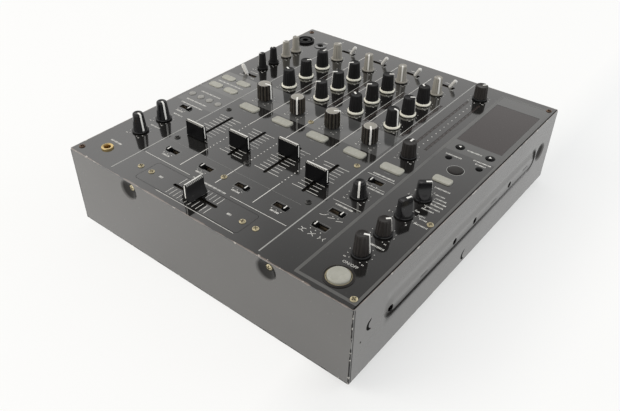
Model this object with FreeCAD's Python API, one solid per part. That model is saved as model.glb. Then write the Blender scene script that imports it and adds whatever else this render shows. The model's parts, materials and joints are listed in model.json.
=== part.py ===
"""A four-channel club mixer: a folded steel case, a control panel and every control on it.

Millimetres. X runs across the panel, Y from the front edge to the rear, Z up from the table.
The origin is on the table, under the middle of the whole mixer.
"""
import FreeCAD
import Part
import math
import os

# Case
foot_height = 7.0
foot_radius = 10.0
foot_inset = 30.0
body_height = 80.7
panel_thickness = 1.6
wall_thickness = 1.6
corner_seam = 0.9
panel_corner = 1.5
tab_width = 14.0
tab_depth = 16.0

# Columns, from the left edge to the right edge
left_margin = 26.0
left_to_channel = 50.25
channel_pitch = 43.5
channel_count = 4
channel_to_master = 40.5
master_to_effect = 44.65
right_margin = 28.1

# Rows of the channel strips, from the front edge to the rear edge
front_to_crossfader = 22.0
crossfader_to_assign = 34.4
assign_to_fader = 52.8
fader_to_cue = 50.3
cue_to_colour = 23.3
colour_to_low = 38.7
tone_pitch = 28.9
high_to_trim = 27.9
trim_to_input = 22.3
rear_margin = 27.5

# Rows of the headphone and microphone column, from the headphone socket back
socket_to_level = 38.7
level_to_mix = 29.1
mix_to_split = 29.2
split_to_keys = 25.0
keys_to_pads = 29.6
pad_pitch_y = 19.6
pads_to_mic_switch = 20.6
mic_switch_to_tone = 21.2
mic_tone_pitch = 18.6
mic_tone_to_level = 22.2
mic_level_pitch = 17.7
mic_level_to_sockets = 29.5
mic_socket_offset = -9.5
mic_jack_offset = 13.5
key_pitch = 12.4
key_count = 4
key_offset = 2.0
pad_pitch_x = 21.8
pad_offset = -1.0

# Rows of the master column, from the assign row back
assign_to_curve = 22.5
curve_to_booth = 29.9
booth_to_mono = 25.3
colour_to_balance = 3.7
master_to_input = 2.7

# Rows of the effect column, from the front edge back
front_to_on_off = 20.5
on_off_to_depth = 30.1
effect_pitch = 29.8
effect_to_cue = 32.85
effect_knob_shift = -1.5
cue_to_tap = 20.5
tap_to_small_keys = 15.0
small_keys_to_beat_keys = 21.8
beat_keys_to_display = 11.0
effect_key_spread = 15.2

# Rotary controls: skirt, grip and shaft
knob_gap = 0.6
knob_roof = 3.0
knob_edge = 0.7
pointer_width = 1.2
pointer_depth = 0.3
shaft_radius = 3.0
small_shaft_radius = 2.0
tone_skirt_radius = 8.2
tone_skirt_height = 2.4
tone_grip_radius = 6.5
tone_top_radius = 5.7
tone_height = 19.4
level_skirt_radius = 8.2
level_skirt_height = 2.0
level_grip_radius = 6.7
level_top_radius = 5.8
level_height = 19.4
short_grip_radius = 6.7
short_top_radius = 5.3
short_height = 14.6
broad_grip_radius = 7.0
broad_top_radius = 6.4
broad_height = 14.9
selector_height = 16.4
trim_skirt_radius = 6.9
trim_skirt_height = 1.8
trim_grip_radius = 5.6
trim_top_radius = 4.6
trim_height = 18.6
mic_skirt_radius = 6.1
mic_skirt_height = 2.0
mic_grip_radius = 4.4
mic_top_radius = 3.7
mic_height = 17.6
colour_skirt_radius = 6.9
colour_skirt_height = 1.0
colour_grip_radius = 6.8
colour_top_radius = 6.5
colour_height = 17.9
selector_bar = 5.2
scoop_radius = 13.0
scoop_drop = 3.5

# Potentiometers under the panel
board_drop = 13.0
board_thickness = 1.6
board_side_margin = 5.0
board_front_margin = 10.0
board_rear_margin = 18.0
pot_width = 11.0
pot_depth = 12.0
pot_height = 7.0
pot_floor = 1.5
bushing_wall = 0.8
bushing_drop = 0.4
shaft_tip_gap = 1.0

# Faders
fader_travel = 45.0
fader_stem_width = 1.2
fader_stem_length = 4.0
fader_slot_width = 2.2
fader_slot_spare = 0.8
fader_cap_width = 21.4
fader_cap_base = 5.6
fader_cap_top = 4.2
fader_cap_lift = 2.4
fader_cap_height = 13.8
fader_cap_socket = 8.0
fader_case_width = 13.0
fader_case_height = 11.0
fader_case_wall = 1.2
fader_case_end = 6.0
carriage_length = 9.0
carriage_height = 6.0
cross_cap_width = 18.6
cross_cap_base = 10.4
cross_cap_waist = 4.6
cross_cap_top = 5.0
cross_plate_length = 121.0
cross_plate_width = 27.4
cross_plate_corner = 3.0
plate_gap = 0.3
cross_screw_inset = 6.2
cross_screw_outset = 7.85
bracket_end = 6.65
bracket_width = 15.0
bracket_thickness = 1.5

# Toggle switches
toggle_lean = 31.5
toggle_pivot_drop = 6.5
toggle_neck_radius = 1.3
toggle_tip_radius = 2.2
toggle_tip_height = 10.6
toggle_hub_radius = 2.3
toggle_pin_radius = 1.0
toggle_slot_length = 18.5
toggle_slot_width = 4.4
toggle_case_length = 22.0
toggle_case_width = 11.0
toggle_wall = 2.6

# Slide switches
lever_width = 4.6
lever_depth = 4.6
lever_rise = 1.8
lever_window_length = 14.4
lever_window_width = 5.4
lever_case_length = 21.0
lever_case_width = 9.0
lever_case_floor = 4.0
lever_travel = 9.0

# Push buttons
cue_length = 21.8
cue_width = 10.2
cue_corner = 2.8
cue_rise = 1.5
pad_length = 16.8
pad_width = 8.8
pad_corner = 3.6
pad_rise = 0.9
round_key_radius = 3.6
small_key_radius = 3.0
beat_key_radius = 4.2
tap_key_radius = 6.6
key_rise = 0.9
on_off_radius = 8.9
on_off_rise = 2.4
on_off_ring_radius = 12.1
on_off_ring_wall = 1.8
on_off_ring_rise = 0.7
button_gap = 0.35
button_skirt = 1.0
button_skirt_height = 2.0
button_stem_radius = 1.7
button_stem_bite = 2.0
button_travel = 0.8
on_off_travel = 1.2
push_switch_size = 7.0
push_switch_height = 5.0

# Windows
window_gap = 0.2
window_drop = 0.1
window_flange = 1.5
window_flange_height = 1.0
display_width = 46.0
display_length = 86.3
display_offset = -1.9
strip_width = 3.0
strip_length = 76.0
strip_offset = 17.3
strip_start = -9.5
meter_spread = 6.7
meter_start = 22.0
meter_length = 109.0

# Sockets on the panel
phone_bore = 3.2
phone_bore_depth = 28.0
phone_nut_radius = 5.6
phone_nut_height = 1.6
phone_body_size = 14.0
phone_body_depth = 30.0
phone_neck_radius = 4.6
mic_nut_radius = 7.6
mic_nut_height = 0.8
combo_flange_radius = 10.7
combo_flange_height = 2.2
combo_body_radius = 9.4
combo_groove_outer = 8.3
combo_groove_inner = 6.9
combo_groove_depth = 10.0
socket_gap = 0.4

# Fasteners
screw_shank = 1.45
screw_hole_gap = 0.1
screw_head_radius = 2.9
screw_head_height = 1.3
screw_length = 6.0
stud_radius = 3.2
corner_screw_x = 6.2
corner_screw_y = 8.7
side_screw_y = 113.0
side_screw_x = 6.7
fader_screw_side = 13.8
fader_screw_end = 34.5
middle_screw_front = 24.0
middle_screw_rear = 5.8

# Pressed details of the walls
dish_radius = 10.4
dish_depth = 4.4
dish_flat = 3.4
dish_drop = 10.2
dish_spread = 79.5
bracket_tab = 24.0
bead_front = 42.0
bead_rear = 316.0
bead_height = 44.0
bead_half = 12.6
bead_rise = 1.5
bead_slope = 8.0
bead_steps = 6
side_hole_radius = 3.2
side_holes = (49.5, 149.0, 185.5, 256.0)
slit_length = 11.0
slit_width = 0.9
slits = (98.0, 222.5, 291.5)
knockout_radius = 5.8
knockout_slot = 0.9
knockouts = ((25.0, 47.0), (179.5, 8.2))
pin_hole_radius = 1.0
pin_hole_y = 12.0
pin_hole_z = 37.4
rear_dish_y = 331.3
rear_dish_z = 42.6
rear_flange_length = 42.0
rear_flange_low = 14.0
rear_flange_high = 48.0

# Rear connectors
rca_barrel = 4.15
rca_bore = 1.6
rca_reach = 10.0
rca_collar_radius = 5.6
rca_collar = 1.6
rca_neck = 4.5
rca_block = 11.0
rca_block_depth = 9.0
rca_pitch_x = 19.0
rca_pitch_z = 19.0
rca_columns = 8
rca_rows = 2
rca_right = 66.0
jack_to_rca = 15.0
jack_drop = 24.7
jack_pitch = 24.0
jack_count = 4
jack_right = -30.0
line_jack_nut = 6.2
xlr_width = 26.0
xlr_tall = 31.0
xlr_flange = 1.6
xlr_shell = 11.2
xlr_recess = 9.5
xlr_recess_depth = 15.0
xlr_body_depth = 18.0
xlr_pin_circle = 4.1
xlr_pin = 1.2
xlr_pin_short = 2.5
xlr_x = -134.0
xlr_pitch_x = 34.0
xlr_drop = 50.7
inlet_width = 34.0
inlet_tall = 27.0
inlet_flange = 1.6
inlet_body_width = 30.0
inlet_body_tall = 22.0
inlet_recess_width = 24.6
inlet_recess_tall = 16.6
inlet_recess_depth = 16.0
inlet_body_depth = 20.0
inlet_pin_pitch = 7.0
inlet_pin_width = 2.0
inlet_pin_tall = 4.0
inlet_pin_length = 13.0
inlet_pin_drop = 2.6
inlet_x = 124.0
rocker_to_inlet = 31.0
rocker_x = 124.0
rocker_drop = 16.7
rocker_bezel_width = 16.0
rocker_bezel_tall = 22.0
rocker_bezel = 1.5
rocker_wall = 2.0
rocker_body_depth = 14.0
rocker_gap = 0.4
rocker_tilt = 8.0
rocker_thickness = 5.0
rocker_pin = 1.2
rocker_pin_length = 1.0

# Boards and power supply inside
spacer_height = 8.0
spacer_radius = 3.5
main_board_front = 150.0
main_board_rear = 320.0
main_board_left = 14.0
main_board_right = 205.0
power_board_left = 214.0
power_board_right = 306.0
power_board_front = 190.0
transformer_size = 42.0
transformer_height = 34.0
capacitor_radius = 9.0
capacitor_height = 30.0
capacitor_pitch = 24.0

# Fits
running_fit = 0.05
press_gap = 0.02
slide_gap = 0.3
through = 2.0

# Where the controls are set: degrees clockwise from the rear edge, and fader travel from the front
tone_set = {"trim": (35, 150, 150, 130), "high": (10, -136, 54, -50), "middle": (40, -132, -132, 55),
            "low": (-64, -132, -56, 100), "colour": (84, 145, 57, 142)}
fader_set = (0.0, 12.5, 31.3, 16.6)
assign_side = (-1, -1, 1, 1)

# Places worked out from the sizes above, in the frame of the mixer
body_width = (left_margin + left_to_channel + channel_pitch * (channel_count - 1)
              + channel_to_master + master_to_effect + right_margin)
assign_y = front_to_crossfader + crossfader_to_assign
fader_y = assign_y + assign_to_fader
cue_y = fader_y + fader_to_cue
colour_y = cue_y + cue_to_colour
low_y = colour_y + colour_to_low
high_y = low_y + 2 * tone_pitch
trim_y = high_y + high_to_trim
input_y = trim_y + trim_to_input
body_depth = input_y + rear_margin
rear_reach = rca_collar + rca_reach
left_edge = -body_width / 2
right_edge = body_width / 2
front_edge = -(body_depth + rear_reach) / 2
rear_edge = front_edge + body_depth
middle_y = (front_edge + rear_edge) / 2
panel_top = foot_height + body_height
panel_under = panel_top - panel_thickness
board_top = panel_under - board_drop
floor_top = foot_height + wall_thickness
channel_x = [left_edge + left_margin + left_to_channel + i * channel_pitch for i in range(channel_count)]
left_x = left_edge + left_margin
master_x = channel_x[-1] + channel_to_master
effect_x = master_x + master_to_effect
effect_knob_x = effect_x + effect_knob_shift
cross_x = (channel_x[1] + channel_x[2]) / 2
cross_y = front_edge + front_to_crossfader
cross_screw_in = cross_plate_length / 2 - cross_screw_inset
cross_screw_out = cross_plate_length / 2 + cross_screw_outset
bracket_length = 2 * (cross_screw_out + bracket_end)
mic_level_y = (socket_to_level + level_to_mix + mix_to_split + split_to_keys + keys_to_pads + pad_pitch_y
               + pads_to_mic_switch + mic_switch_to_tone + mic_tone_pitch + mic_tone_to_level + cross_y)
level_y = cross_y + socket_to_level
mix_y = level_y + level_to_mix
split_y = mix_y + mix_to_split
keys_y = split_y + split_to_keys
pads_y = keys_y + keys_to_pads
mic_switch_y = pads_y + pad_pitch_y + pads_to_mic_switch
mic_tone_y = mic_switch_y + mic_switch_to_tone
mic_socket_y = mic_level_y + mic_level_pitch + mic_level_to_sockets
curve_y = front_edge + assign_y + assign_to_curve
booth_y = curve_y + curve_to_booth
mono_y = booth_y + booth_to_mono
on_off_y = front_edge + front_to_on_off
depth_y = on_off_y + on_off_to_depth
effect_y = depth_y + 3 * effect_pitch
effect_cue_y = effect_y + effect_to_cue
tap_y = effect_cue_y + cue_to_tap
small_keys_y = tap_y + tap_to_small_keys
beat_keys_y = small_keys_y + small_keys_to_beat_keys
display_y = beat_keys_y + beat_keys_to_display + display_length / 2
screw_hole = screw_shank + screw_hole_gap


def point(x, y, z):
    """A place in the frame of the mixer."""
    return FreeCAD.Vector(x, y, z)


def box(x, y, size_x, size_y, low, high):
    """An upright block centred on x, y."""
    return Part.makeBox(size_x, size_y, high - low, point(x - size_x / 2, y - size_y / 2, low))


def post(x, y, radius, low, high):
    """An upright round post."""
    return Part.makeCylinder(radius, high - low, point(x, y, low))


def bar_y(x, z, radius, start, end):
    """A round bar along Y."""
    return Part.makeCylinder(radius, end - start, point(x, start, z), point(0, 1, 0))


def rounded(x, y, size_x, size_y, corner, low, high):
    """An upright block with rounded vertical corners."""
    half_x = size_x / 2
    half_y = size_y / 2
    turn = corner * (1 - math.sqrt(0.5))
    edges = []
    for quarter in range(4):
        sign_x = (1, -1, -1, 1)[quarter]
        sign_y = (1, 1, -1, -1)[quarter]
        along_x = point(x + sign_x * (half_x - corner), y + sign_y * half_y, low)
        along_y = point(x + sign_x * half_x, y + sign_y * (half_y - corner), low)
        bend = point(x + sign_x * (half_x - turn), y + sign_y * (half_y - turn), low)
        start, end = (along_y, along_x) if quarter in (0, 2) else (along_x, along_y)
        edges.append(Part.Arc(start, bend, end).toShape())
    sides = []
    for quarter in range(4):
        start = edges[quarter].valueAt(edges[quarter].LastParameter)
        end = edges[(quarter + 1) % 4].valueAt(edges[(quarter + 1) % 4].FirstParameter)
        sides.append(edges[quarter])
        if start.distanceToPoint(end) > 1e-6:
            sides.append(Part.makeLine(start, end))
    return Part.Face(Part.Wire(Part.__sortEdges__(sides))).extrude(point(0, 0, high - low))


def spun(x, y, base, profile):
    """A turned solid: radius and height pairs, from the axis out and back to the axis."""
    corners = [point(x + radius, y, base + height) for radius, height in profile]
    outline = Part.makePolygon(corners + [corners[0]])
    return Part.Face(outline).revolve(point(x, y, 0), point(0, 0, 1), 360)


def prism(corners, along):
    """A flat outline pushed along a vector."""
    places = [point(*corner) for corner in corners]
    return Part.Face(Part.makePolygon(places + [places[0]])).extrude(point(*along))


# Rotary controls
def knob_kind(name):
    """Radii, heights and shaft of one kind of grip."""
    return {
        "tone": (tone_skirt_radius, tone_skirt_height, tone_grip_radius, tone_top_radius,
                 tone_height, shaft_radius),
        "level": (level_skirt_radius, level_skirt_height, level_grip_radius, level_top_radius,
                  level_height, shaft_radius),
        "short": (level_skirt_radius, level_skirt_height, short_grip_radius, short_top_radius,
                  short_height, shaft_radius),
        "broad": (level_skirt_radius, level_skirt_height, broad_grip_radius, broad_top_radius,
                  broad_height, shaft_radius),
        "selector": (level_skirt_radius, level_skirt_height, level_grip_radius, level_top_radius,
                     selector_height, shaft_radius),
        "trim": (trim_skirt_radius, trim_skirt_height, trim_grip_radius, trim_top_radius,
                 trim_height, shaft_radius),
        "mic": (mic_skirt_radius, mic_skirt_height, mic_grip_radius, mic_top_radius,
                mic_height, small_shaft_radius),
        "colour": (colour_skirt_radius, colour_skirt_height, colour_grip_radius, colour_top_radius,
                   colour_height, shaft_radius),
    }[name]


def rotary_controls():
    """Name, place, setting and kind of grip of every rotary control on the panel."""
    rows = {"trim": trim_y, "high": high_y, "middle": low_y + tone_pitch, "low": low_y, "colour": colour_y}
    controls = []
    for row, y in rows.items():
        kind = row if row in ("trim", "colour") else "tone"
        for channel, x in enumerate(channel_x):
            turn = tone_set[row][channel % 4]
            controls.append((f"{row}_knob_{channel + 1}", x, front_edge + y, turn, kind))
    controls += [
        ("headphone_level_knob", left_x, level_y, 100, "level"),
        ("headphone_mix_knob", left_x, mix_y, 108, "level"),
        ("mic_low_knob", left_x, mic_tone_y, -130, "mic"),
        ("mic_high_knob", left_x, mic_tone_y + mic_tone_pitch, -60, "mic"),
        ("mic_2_level_knob", left_x, mic_level_y, -130, "mic"),
        ("mic_1_level_knob", left_x, mic_level_y + mic_level_pitch, 0, "mic"),
        ("booth_level_knob", master_x, booth_y, 150, "short"),
        ("balance_knob", master_x, front_edge + colour_y + colour_to_balance, 0, "broad"),
        ("master_level_knob", master_x, front_edge + input_y - master_to_input, 35, "broad"),
        ("effect_depth_knob", effect_knob_x, depth_y, 68, "level"),
        ("effect_time_knob", effect_knob_x, depth_y + effect_pitch, 45, "short"),
        ("effect_channel_selector", effect_knob_x, depth_y + 2 * effect_pitch, 22, "selector"),
        ("effect_selector", effect_knob_x, effect_y, 50, "selector"),
    ]
    return controls


def knob(x, y, turn, kind):
    """A grip with its skirt and pointer groove, and the shaft pressed into it."""
    skirt, skirt_height, grip, top, height, shaft = knob_kind(kind)
    base = panel_top + knob_gap
    profile = [(0, 0), (skirt, 0), (skirt, skirt_height / 2), (grip, skirt_height),
               (top, height - knob_edge), (top - knob_edge, height), (0, height)]
    cap = spun(x, y, base, profile)
    socket_top = base + height - knob_roof
    cuts = [post(x, y, shaft + press_gap, base - through, socket_top)]
    groove = Part.makeBox(pointer_width, top + through, pointer_depth + through,
                          point(x - pointer_width / 2, y, base + height - pointer_depth))
    cuts.append(groove)
    if kind == "selector":
        for side in (-1, 1):
            offset = selector_bar / 2 + scoop_radius
            cuts.append(bar_y(x + side * offset, base + height - scoop_drop, scoop_radius,
                              y - 2 * skirt, y + 2 * skirt))
    cap = cap.cut(cuts)
    cap.rotate(point(x, y, 0), point(0, 0, 1), -turn)
    shaft_low = board_top + pot_floor + shaft_tip_gap
    rod = post(x, y, shaft, shaft_low, socket_top - press_gap)
    return [cap, rod]


def potentiometer(x, y, shaft):
    """The fixed case and bushing that carry a knob's shaft."""
    case = box(x, y, pot_width, pot_depth, board_top, board_top + pot_height)
    bushing = post(x, y, shaft + bushing_wall, board_top + pot_height, panel_top - bushing_drop)
    bore = post(x, y, shaft + running_fit, board_top + pot_floor, panel_top)
    return case.fuse(bushing).cut(bore)


# Faders. A channel fader slides along Y and the crossfader along X
def turned_to_x(shape, x, y):
    """The same shape turned a quarter about an upright axis."""
    shape.rotate(point(x, y, 0), point(0, 0, 1), -90)
    return shape


fader_slot_length = fader_travel + fader_stem_length + 2 * fader_slot_spare
fader_case_length = fader_travel + carriage_length + 2 * (fader_case_end + fader_slot_spare)
cavity_top = panel_under - fader_case_wall
cavity_low = panel_under - fader_case_height + fader_case_wall


def fader_case(x, y):
    """The steel trough that holds a carriage under the panel."""
    inner_width = fader_case_width - 2 * fader_case_wall
    case = box(x, y, fader_case_width, fader_case_length, panel_under - fader_case_height, panel_under)
    room = box(x, y, inner_width, fader_case_length - 2 * fader_case_end, cavity_low, cavity_top)
    slot = box(x, y, fader_slot_width, fader_slot_length, cavity_low, panel_under + through)
    return case.cut([room, slot])


def fader_lever(x, y):
    """The carriage and the flat stem that comes up through the slot."""
    inner_width = fader_case_width - 2 * fader_case_wall
    carriage_low = cavity_low + slide_gap
    carriage_top = min(carriage_low + carriage_height, cavity_top - slide_gap)
    carriage = box(x, y, inner_width - 2 * slide_gap, carriage_length, carriage_low, carriage_top)
    stem_top = panel_top + fader_cap_lift + fader_cap_socket
    stem = box(x, y, fader_stem_width, fader_stem_length, carriage_top, stem_top)
    return carriage.fuse(stem)


def stem_socket(x, y):
    """The pocket in a cap that the stem is pressed into."""
    low = panel_top + fader_cap_lift
    return box(x, y, fader_stem_width + 2 * press_gap, fader_stem_length + 2 * press_gap,
               low - through, low + fader_cap_socket + press_gap)


def channel_fader(x, y):
    """A flat paddle cap, wide across the channel, on its lever."""
    low = panel_top + fader_cap_lift
    high = low + fader_cap_height
    half = fader_cap_width / 2
    corners = [(x - half, y - fader_cap_base / 2, low), (x - half, y + fader_cap_base / 2, low),
               (x - half, y + fader_cap_top / 2, high), (x - half, y - fader_cap_top / 2, high)]
    cap = prism(corners, (fader_cap_width, 0, 0)).cut(stem_socket(x, y))
    return [cap, fader_lever(x, y)]


def crossfader(x, y):
    """A cap with a flared foot and a narrow waist, wide along Y, on a lever turned to X."""
    low = panel_top + fader_cap_lift
    waist = low + fader_cap_height / 2
    high = low + fader_cap_height
    front = y - cross_cap_width / 2
    outline = [(-cross_cap_base / 2, low), (-cross_cap_waist / 2, waist), (-cross_cap_top / 2, high),
               (cross_cap_top / 2, high), (cross_cap_waist / 2, waist), (cross_cap_base / 2, low)]
    cap = prism([(x + side, front, z) for side, z in outline], (0, cross_cap_width, 0))
    cap = cap.cut(turned_to_x(stem_socket(x, y), x, y))
    return [cap, turned_to_x(fader_lever(x, y), x, y)]


def crossfader_case():
    """The crossfader's trough with the long bracket that carries the plate."""
    bracket = box(cross_x, cross_y, bracket_length, bracket_width,
                  panel_under - bracket_thickness, panel_under)
    for offset in (cross_screw_in, cross_screw_out):
        for side in (-1, 1):
            bracket = bracket.cut(post(cross_x + side * offset, cross_y, screw_hole,
                                       panel_under - screw_length, panel_top))
    slot = turned_to_x(box(cross_x, cross_y, fader_case_width - 2 * fader_case_wall, fader_slot_length,
                           panel_under - bracket_thickness - through, panel_under + through),
                       cross_x, cross_y)
    return turned_to_x(fader_case(cross_x, cross_y), cross_x, cross_y).fuse(bracket.cut(slot))


def crossfader_plate():
    """The small plate that lifts off with the crossfader."""
    plate = rounded(cross_x, cross_y, cross_plate_length, cross_plate_width, cross_plate_corner,
                    panel_under, panel_top)
    slot = turned_to_x(box(cross_x, cross_y, fader_slot_width, fader_slot_length,
                           panel_under - through, panel_top + through), cross_x, cross_y)
    holes = [post(cross_x + side * cross_screw_in, cross_y, screw_hole,
                  panel_under - through, panel_top + through) for side in (-1, 1)]
    return plate.cut(holes + [slot])


# Toggle switches swing across the panel about a pin along Y
def toggle_places():
    """Name, place and the side that each lever leans to."""
    places = [(f"input_switch_{i + 1}", x, front_edge + input_y, 1) for i, x in enumerate(channel_x)]
    return places + [("mic_switch", left_x, mic_switch_y, -1)]


def toggle_lever(x, y, side):
    """A bat lever on a bored hub, leaning to one side."""
    pivot = panel_top - toggle_pivot_drop
    reach = (toggle_pivot_drop + toggle_tip_height) / math.cos(math.radians(toggle_lean))
    round_start = reach - toggle_tip_radius
    profile = [(0, 0), (toggle_neck_radius, 0), (toggle_tip_radius, round_start), (0, round_start)]
    bat = spun(x, y, pivot, profile)
    tip = Part.makeSphere(toggle_tip_radius, point(x, y, pivot + round_start))
    hub_half = toggle_case_width / 2 - toggle_wall - slide_gap
    hub = bar_y(x, pivot, toggle_hub_radius, y - hub_half, y + hub_half)
    lever = bat.fuse([tip, hub])
    lever = lever.cut(bar_y(x, pivot, toggle_pin_radius + running_fit, y - 2 * hub_half, y + 2 * hub_half))
    lever.rotate(point(x, y, pivot), point(0, 1, 0), side * toggle_lean)
    return [lever]


def toggle_case(x, y):
    """The fixed case of a toggle switch, with its pivot pin."""
    high = panel_under - slide_gap
    pivot = panel_top - toggle_pivot_drop
    room_low = pivot - toggle_hub_radius - slide_gap
    case = box(x, y, toggle_case_length, toggle_case_width, board_top, high)
    room = box(x, y, toggle_case_length - 2 * toggle_wall, toggle_case_width - 2 * toggle_wall,
               room_low, high + through)
    pin = bar_y(x, pivot, toggle_pin_radius, y - toggle_case_width / 2, y + toggle_case_width / 2)
    return case.cut(room).fuse(pin)


# Slide switches move across the panel. Each is set to one end of its window
def slide_switch_places():
    """Place and set side of each slide switch."""
    places = [(x, front_edge + assign_y, assign_side[i % 4]) for i, x in enumerate(channel_x)]
    return places + [(master_x, front_edge + assign_y, -1), (master_x, curve_y, 1),
                     (master_x, mono_y, -1), (left_x, split_y, 1)]


def switch_levers(wanted_side):
    """The levers that are set to one side."""
    levers = []
    for x, y, side in slide_switch_places():
        if side == wanted_side:
            levers.append(box(x + side * lever_travel / 2, y, lever_width, lever_depth,
                              board_top + lever_case_floor + slide_gap, panel_top + lever_rise))
    return levers


def slide_switch_case(x, y):
    """The open case that a lever slides in."""
    case = box(x, y, lever_case_length, lever_case_width, board_top, panel_under - slide_gap)
    room = box(x, y, lever_travel + lever_width + 2 * slide_gap, lever_depth + 2 * slide_gap,
               board_top + lever_case_floor, panel_top)
    return case.cut(room)


# Push buttons: a cap through the panel, a skirt under it and a stem into its switch
def button_outline(shape, x, y, extra, low, high):
    """The outline of a button, grown by an amount, as an upright solid."""
    if shape[0] == "round":
        return post(x, y, shape[1] + extra, low, high)
    return rounded(x, y, shape[1] + 2 * extra, shape[2] + 2 * extra, shape[3] + extra, low, high)


def cue_buttons():
    """Long buttons over the faders, in the master column and in the effect column."""
    shape = ("long", cue_length, cue_width, cue_corner)
    places = [(x, front_edge + cue_y) for x in channel_x]
    places += [(master_x, front_edge + cue_y), (effect_x, effect_cue_y)]
    return [(shape, x, y, cue_rise) for x, y in places]


def pad_buttons():
    """Four short buttons in two rows beside the channels."""
    shape = ("long", pad_length, pad_width, pad_corner)
    return [(shape, left_x + pad_offset + side * pad_pitch_x / 2, pads_y + row * pad_pitch_y, pad_rise)
            for row in (0, 1) for side in (-1, 1)]


def small_keys():
    """The round keys: a row of four at the left, and five in the effect column."""
    first = left_x + key_offset - key_pitch * (key_count - 1) / 2
    keys = [(("round", round_key_radius), first + i * key_pitch, keys_y, key_rise) for i in range(key_count)]
    for side in (-1, 1):
        x = effect_x + side * effect_key_spread
        keys.append((("round", small_key_radius), x, small_keys_y, key_rise))
        keys.append((("round", beat_key_radius), x, beat_keys_y, key_rise))
    return keys + [(("round", tap_key_radius), effect_x, tap_y, key_rise)]


def on_off_key():
    """The large round button at the front of the effect column."""
    return (("round", on_off_radius), effect_x, on_off_y, on_off_rise)


def button(shape, x, y, rise):
    """One button with its retaining skirt and its stem."""
    skirt_top = panel_under - slide_gap
    skirt_low = skirt_top - button_skirt_height
    cap = button_outline(shape, x, y, 0, skirt_low, panel_top + rise)
    skirt = button_outline(shape, x, y, button_skirt, skirt_low, skirt_top)
    stem = post(x, y, button_stem_radius, board_top + push_switch_height - button_stem_bite, skirt_low)
    return cap.fuse([skirt, stem])


def push_switch(x, y):
    """The switch under a button, with a bore that takes the stem at its longest press."""
    press = max(button_travel, on_off_travel)
    case = box(x, y, push_switch_size, push_switch_size, board_top, board_top + push_switch_height)
    bore = post(x, y, button_stem_radius + running_fit,
                board_top + push_switch_height - button_stem_bite - press - slide_gap,
                board_top + push_switch_height + through)
    return case.cut(bore)


def all_buttons():
    """Every push button on the panel."""
    return cue_buttons() + pad_buttons() + small_keys() + [on_off_key()]


# Windows over the display and the level meters
def window_places():
    """Centre and size of each window."""
    strip_y = front_edge + low_y + strip_start + strip_length / 2
    meter_y = front_edge + colour_y + meter_start + meter_length / 2
    places = [(effect_x + display_offset, display_y, display_width, display_length)]
    places += [(x + strip_offset, strip_y, strip_width, strip_length) for x in channel_x]
    places += [(master_x + side * meter_spread, meter_y, strip_width, meter_length) for side in (-1, 1)]
    return places


def windows():
    """Clear lenses, let into the panel from below."""
    lenses = []
    for x, y, size_x, size_y in window_places():
        lens = box(x, y, size_x - 2 * window_gap, size_y - 2 * window_gap,
                   panel_under, panel_top - window_drop)
        flange = box(x, y, size_x + 2 * window_flange, size_y + 2 * window_flange,
                     panel_under - window_flange_height, panel_under)
        lenses.append(lens.fuse(flange))
    return lenses


# Sockets on the panel
def socket_places():
    """Headphone socket, combined microphone socket and second microphone jack."""
    return {"phones": (left_x, cross_y), "combo": (left_x + mic_socket_offset, mic_socket_y),
            "jack": (left_x + mic_jack_offset, mic_socket_y)}


def plug_jack(x, y, nut_radius, nut_height):
    """A quarter-inch jack with its ring nut on the panel."""
    body = box(x, y, phone_body_size, phone_body_size, panel_under - phone_body_depth, panel_under)
    neck = post(x, y, phone_neck_radius, panel_under, panel_top)
    nut = post(x, y, nut_radius, panel_top, panel_top + nut_height)
    mouth = panel_top + nut_height
    return body.fuse([neck, nut]).cut(post(x, y, phone_bore, mouth - phone_bore_depth, mouth + through))


def combo_socket(x, y):
    """A round microphone socket that takes either plug."""
    mouth = panel_top + combo_flange_height
    body = post(x, y, combo_body_radius, panel_under - phone_body_depth, panel_top)
    flange = post(x, y, combo_flange_radius, panel_top, mouth)
    groove = post(x, y, combo_groove_outer, mouth - combo_groove_depth, mouth + through)
    groove = groove.cut(post(x, y, combo_groove_inner, mouth - combo_groove_depth, mouth + through))
    bore = post(x, y, phone_bore, mouth - phone_bore_depth, mouth + through)
    return body.fuse(flange).cut([groove, bore])


def panel_jacks():
    """The three sockets on the panel."""
    places = socket_places()
    return [plug_jack(*places["phones"], phone_nut_radius, phone_nut_height),
            plug_jack(*places["jack"], mic_nut_radius, mic_nut_height),
            combo_socket(*places["combo"])]


# Screws
def corner_screws():
    """Screws into the tabs of the case."""
    places = [(side * (body_width / 2 - corner_screw_x), y)
              for side in (-1, 1) for y in (front_edge + corner_screw_y, rear_edge - corner_screw_y)]
    return places + [(right_edge - side_screw_x, front_edge + side_screw_y)]


def board_screws():
    """Screws into the studs that carry the control board."""
    middle = [assign_y, fader_y - middle_screw_front, colour_y - middle_screw_rear]
    places = [(cross_x, front_edge + y) for y in middle]
    for end in (-1, 1):
        y = front_edge + fader_y + end * fader_screw_end
        places += [(channel_x[0] - fader_screw_side, y), (channel_x[-1] + fader_screw_side, y)]
    return places


def plate_screws():
    """Screws of the crossfader plate and its bracket."""
    return [(cross_x + side * offset, cross_y) for offset in (cross_screw_in, cross_screw_out)
            for side in (-1, 1)]


def panel_screw(x, y):
    """A domed screw driven down into the panel."""
    head = spun(x, y, panel_top, [(0, 0), (screw_head_radius, 0), (screw_head_radius, screw_head_height / 2),
                                  (screw_head_radius / 2, screw_head_height), (0, screw_head_height)])
    return head.fuse(post(x, y, screw_shank, panel_top - screw_length, panel_top))


dish_seat = dish_depth + wall_thickness
dish_z = panel_top - dish_drop
rear_dish_place = front_edge + rear_dish_y
rear_dish_top = foot_height + rear_dish_z


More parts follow.
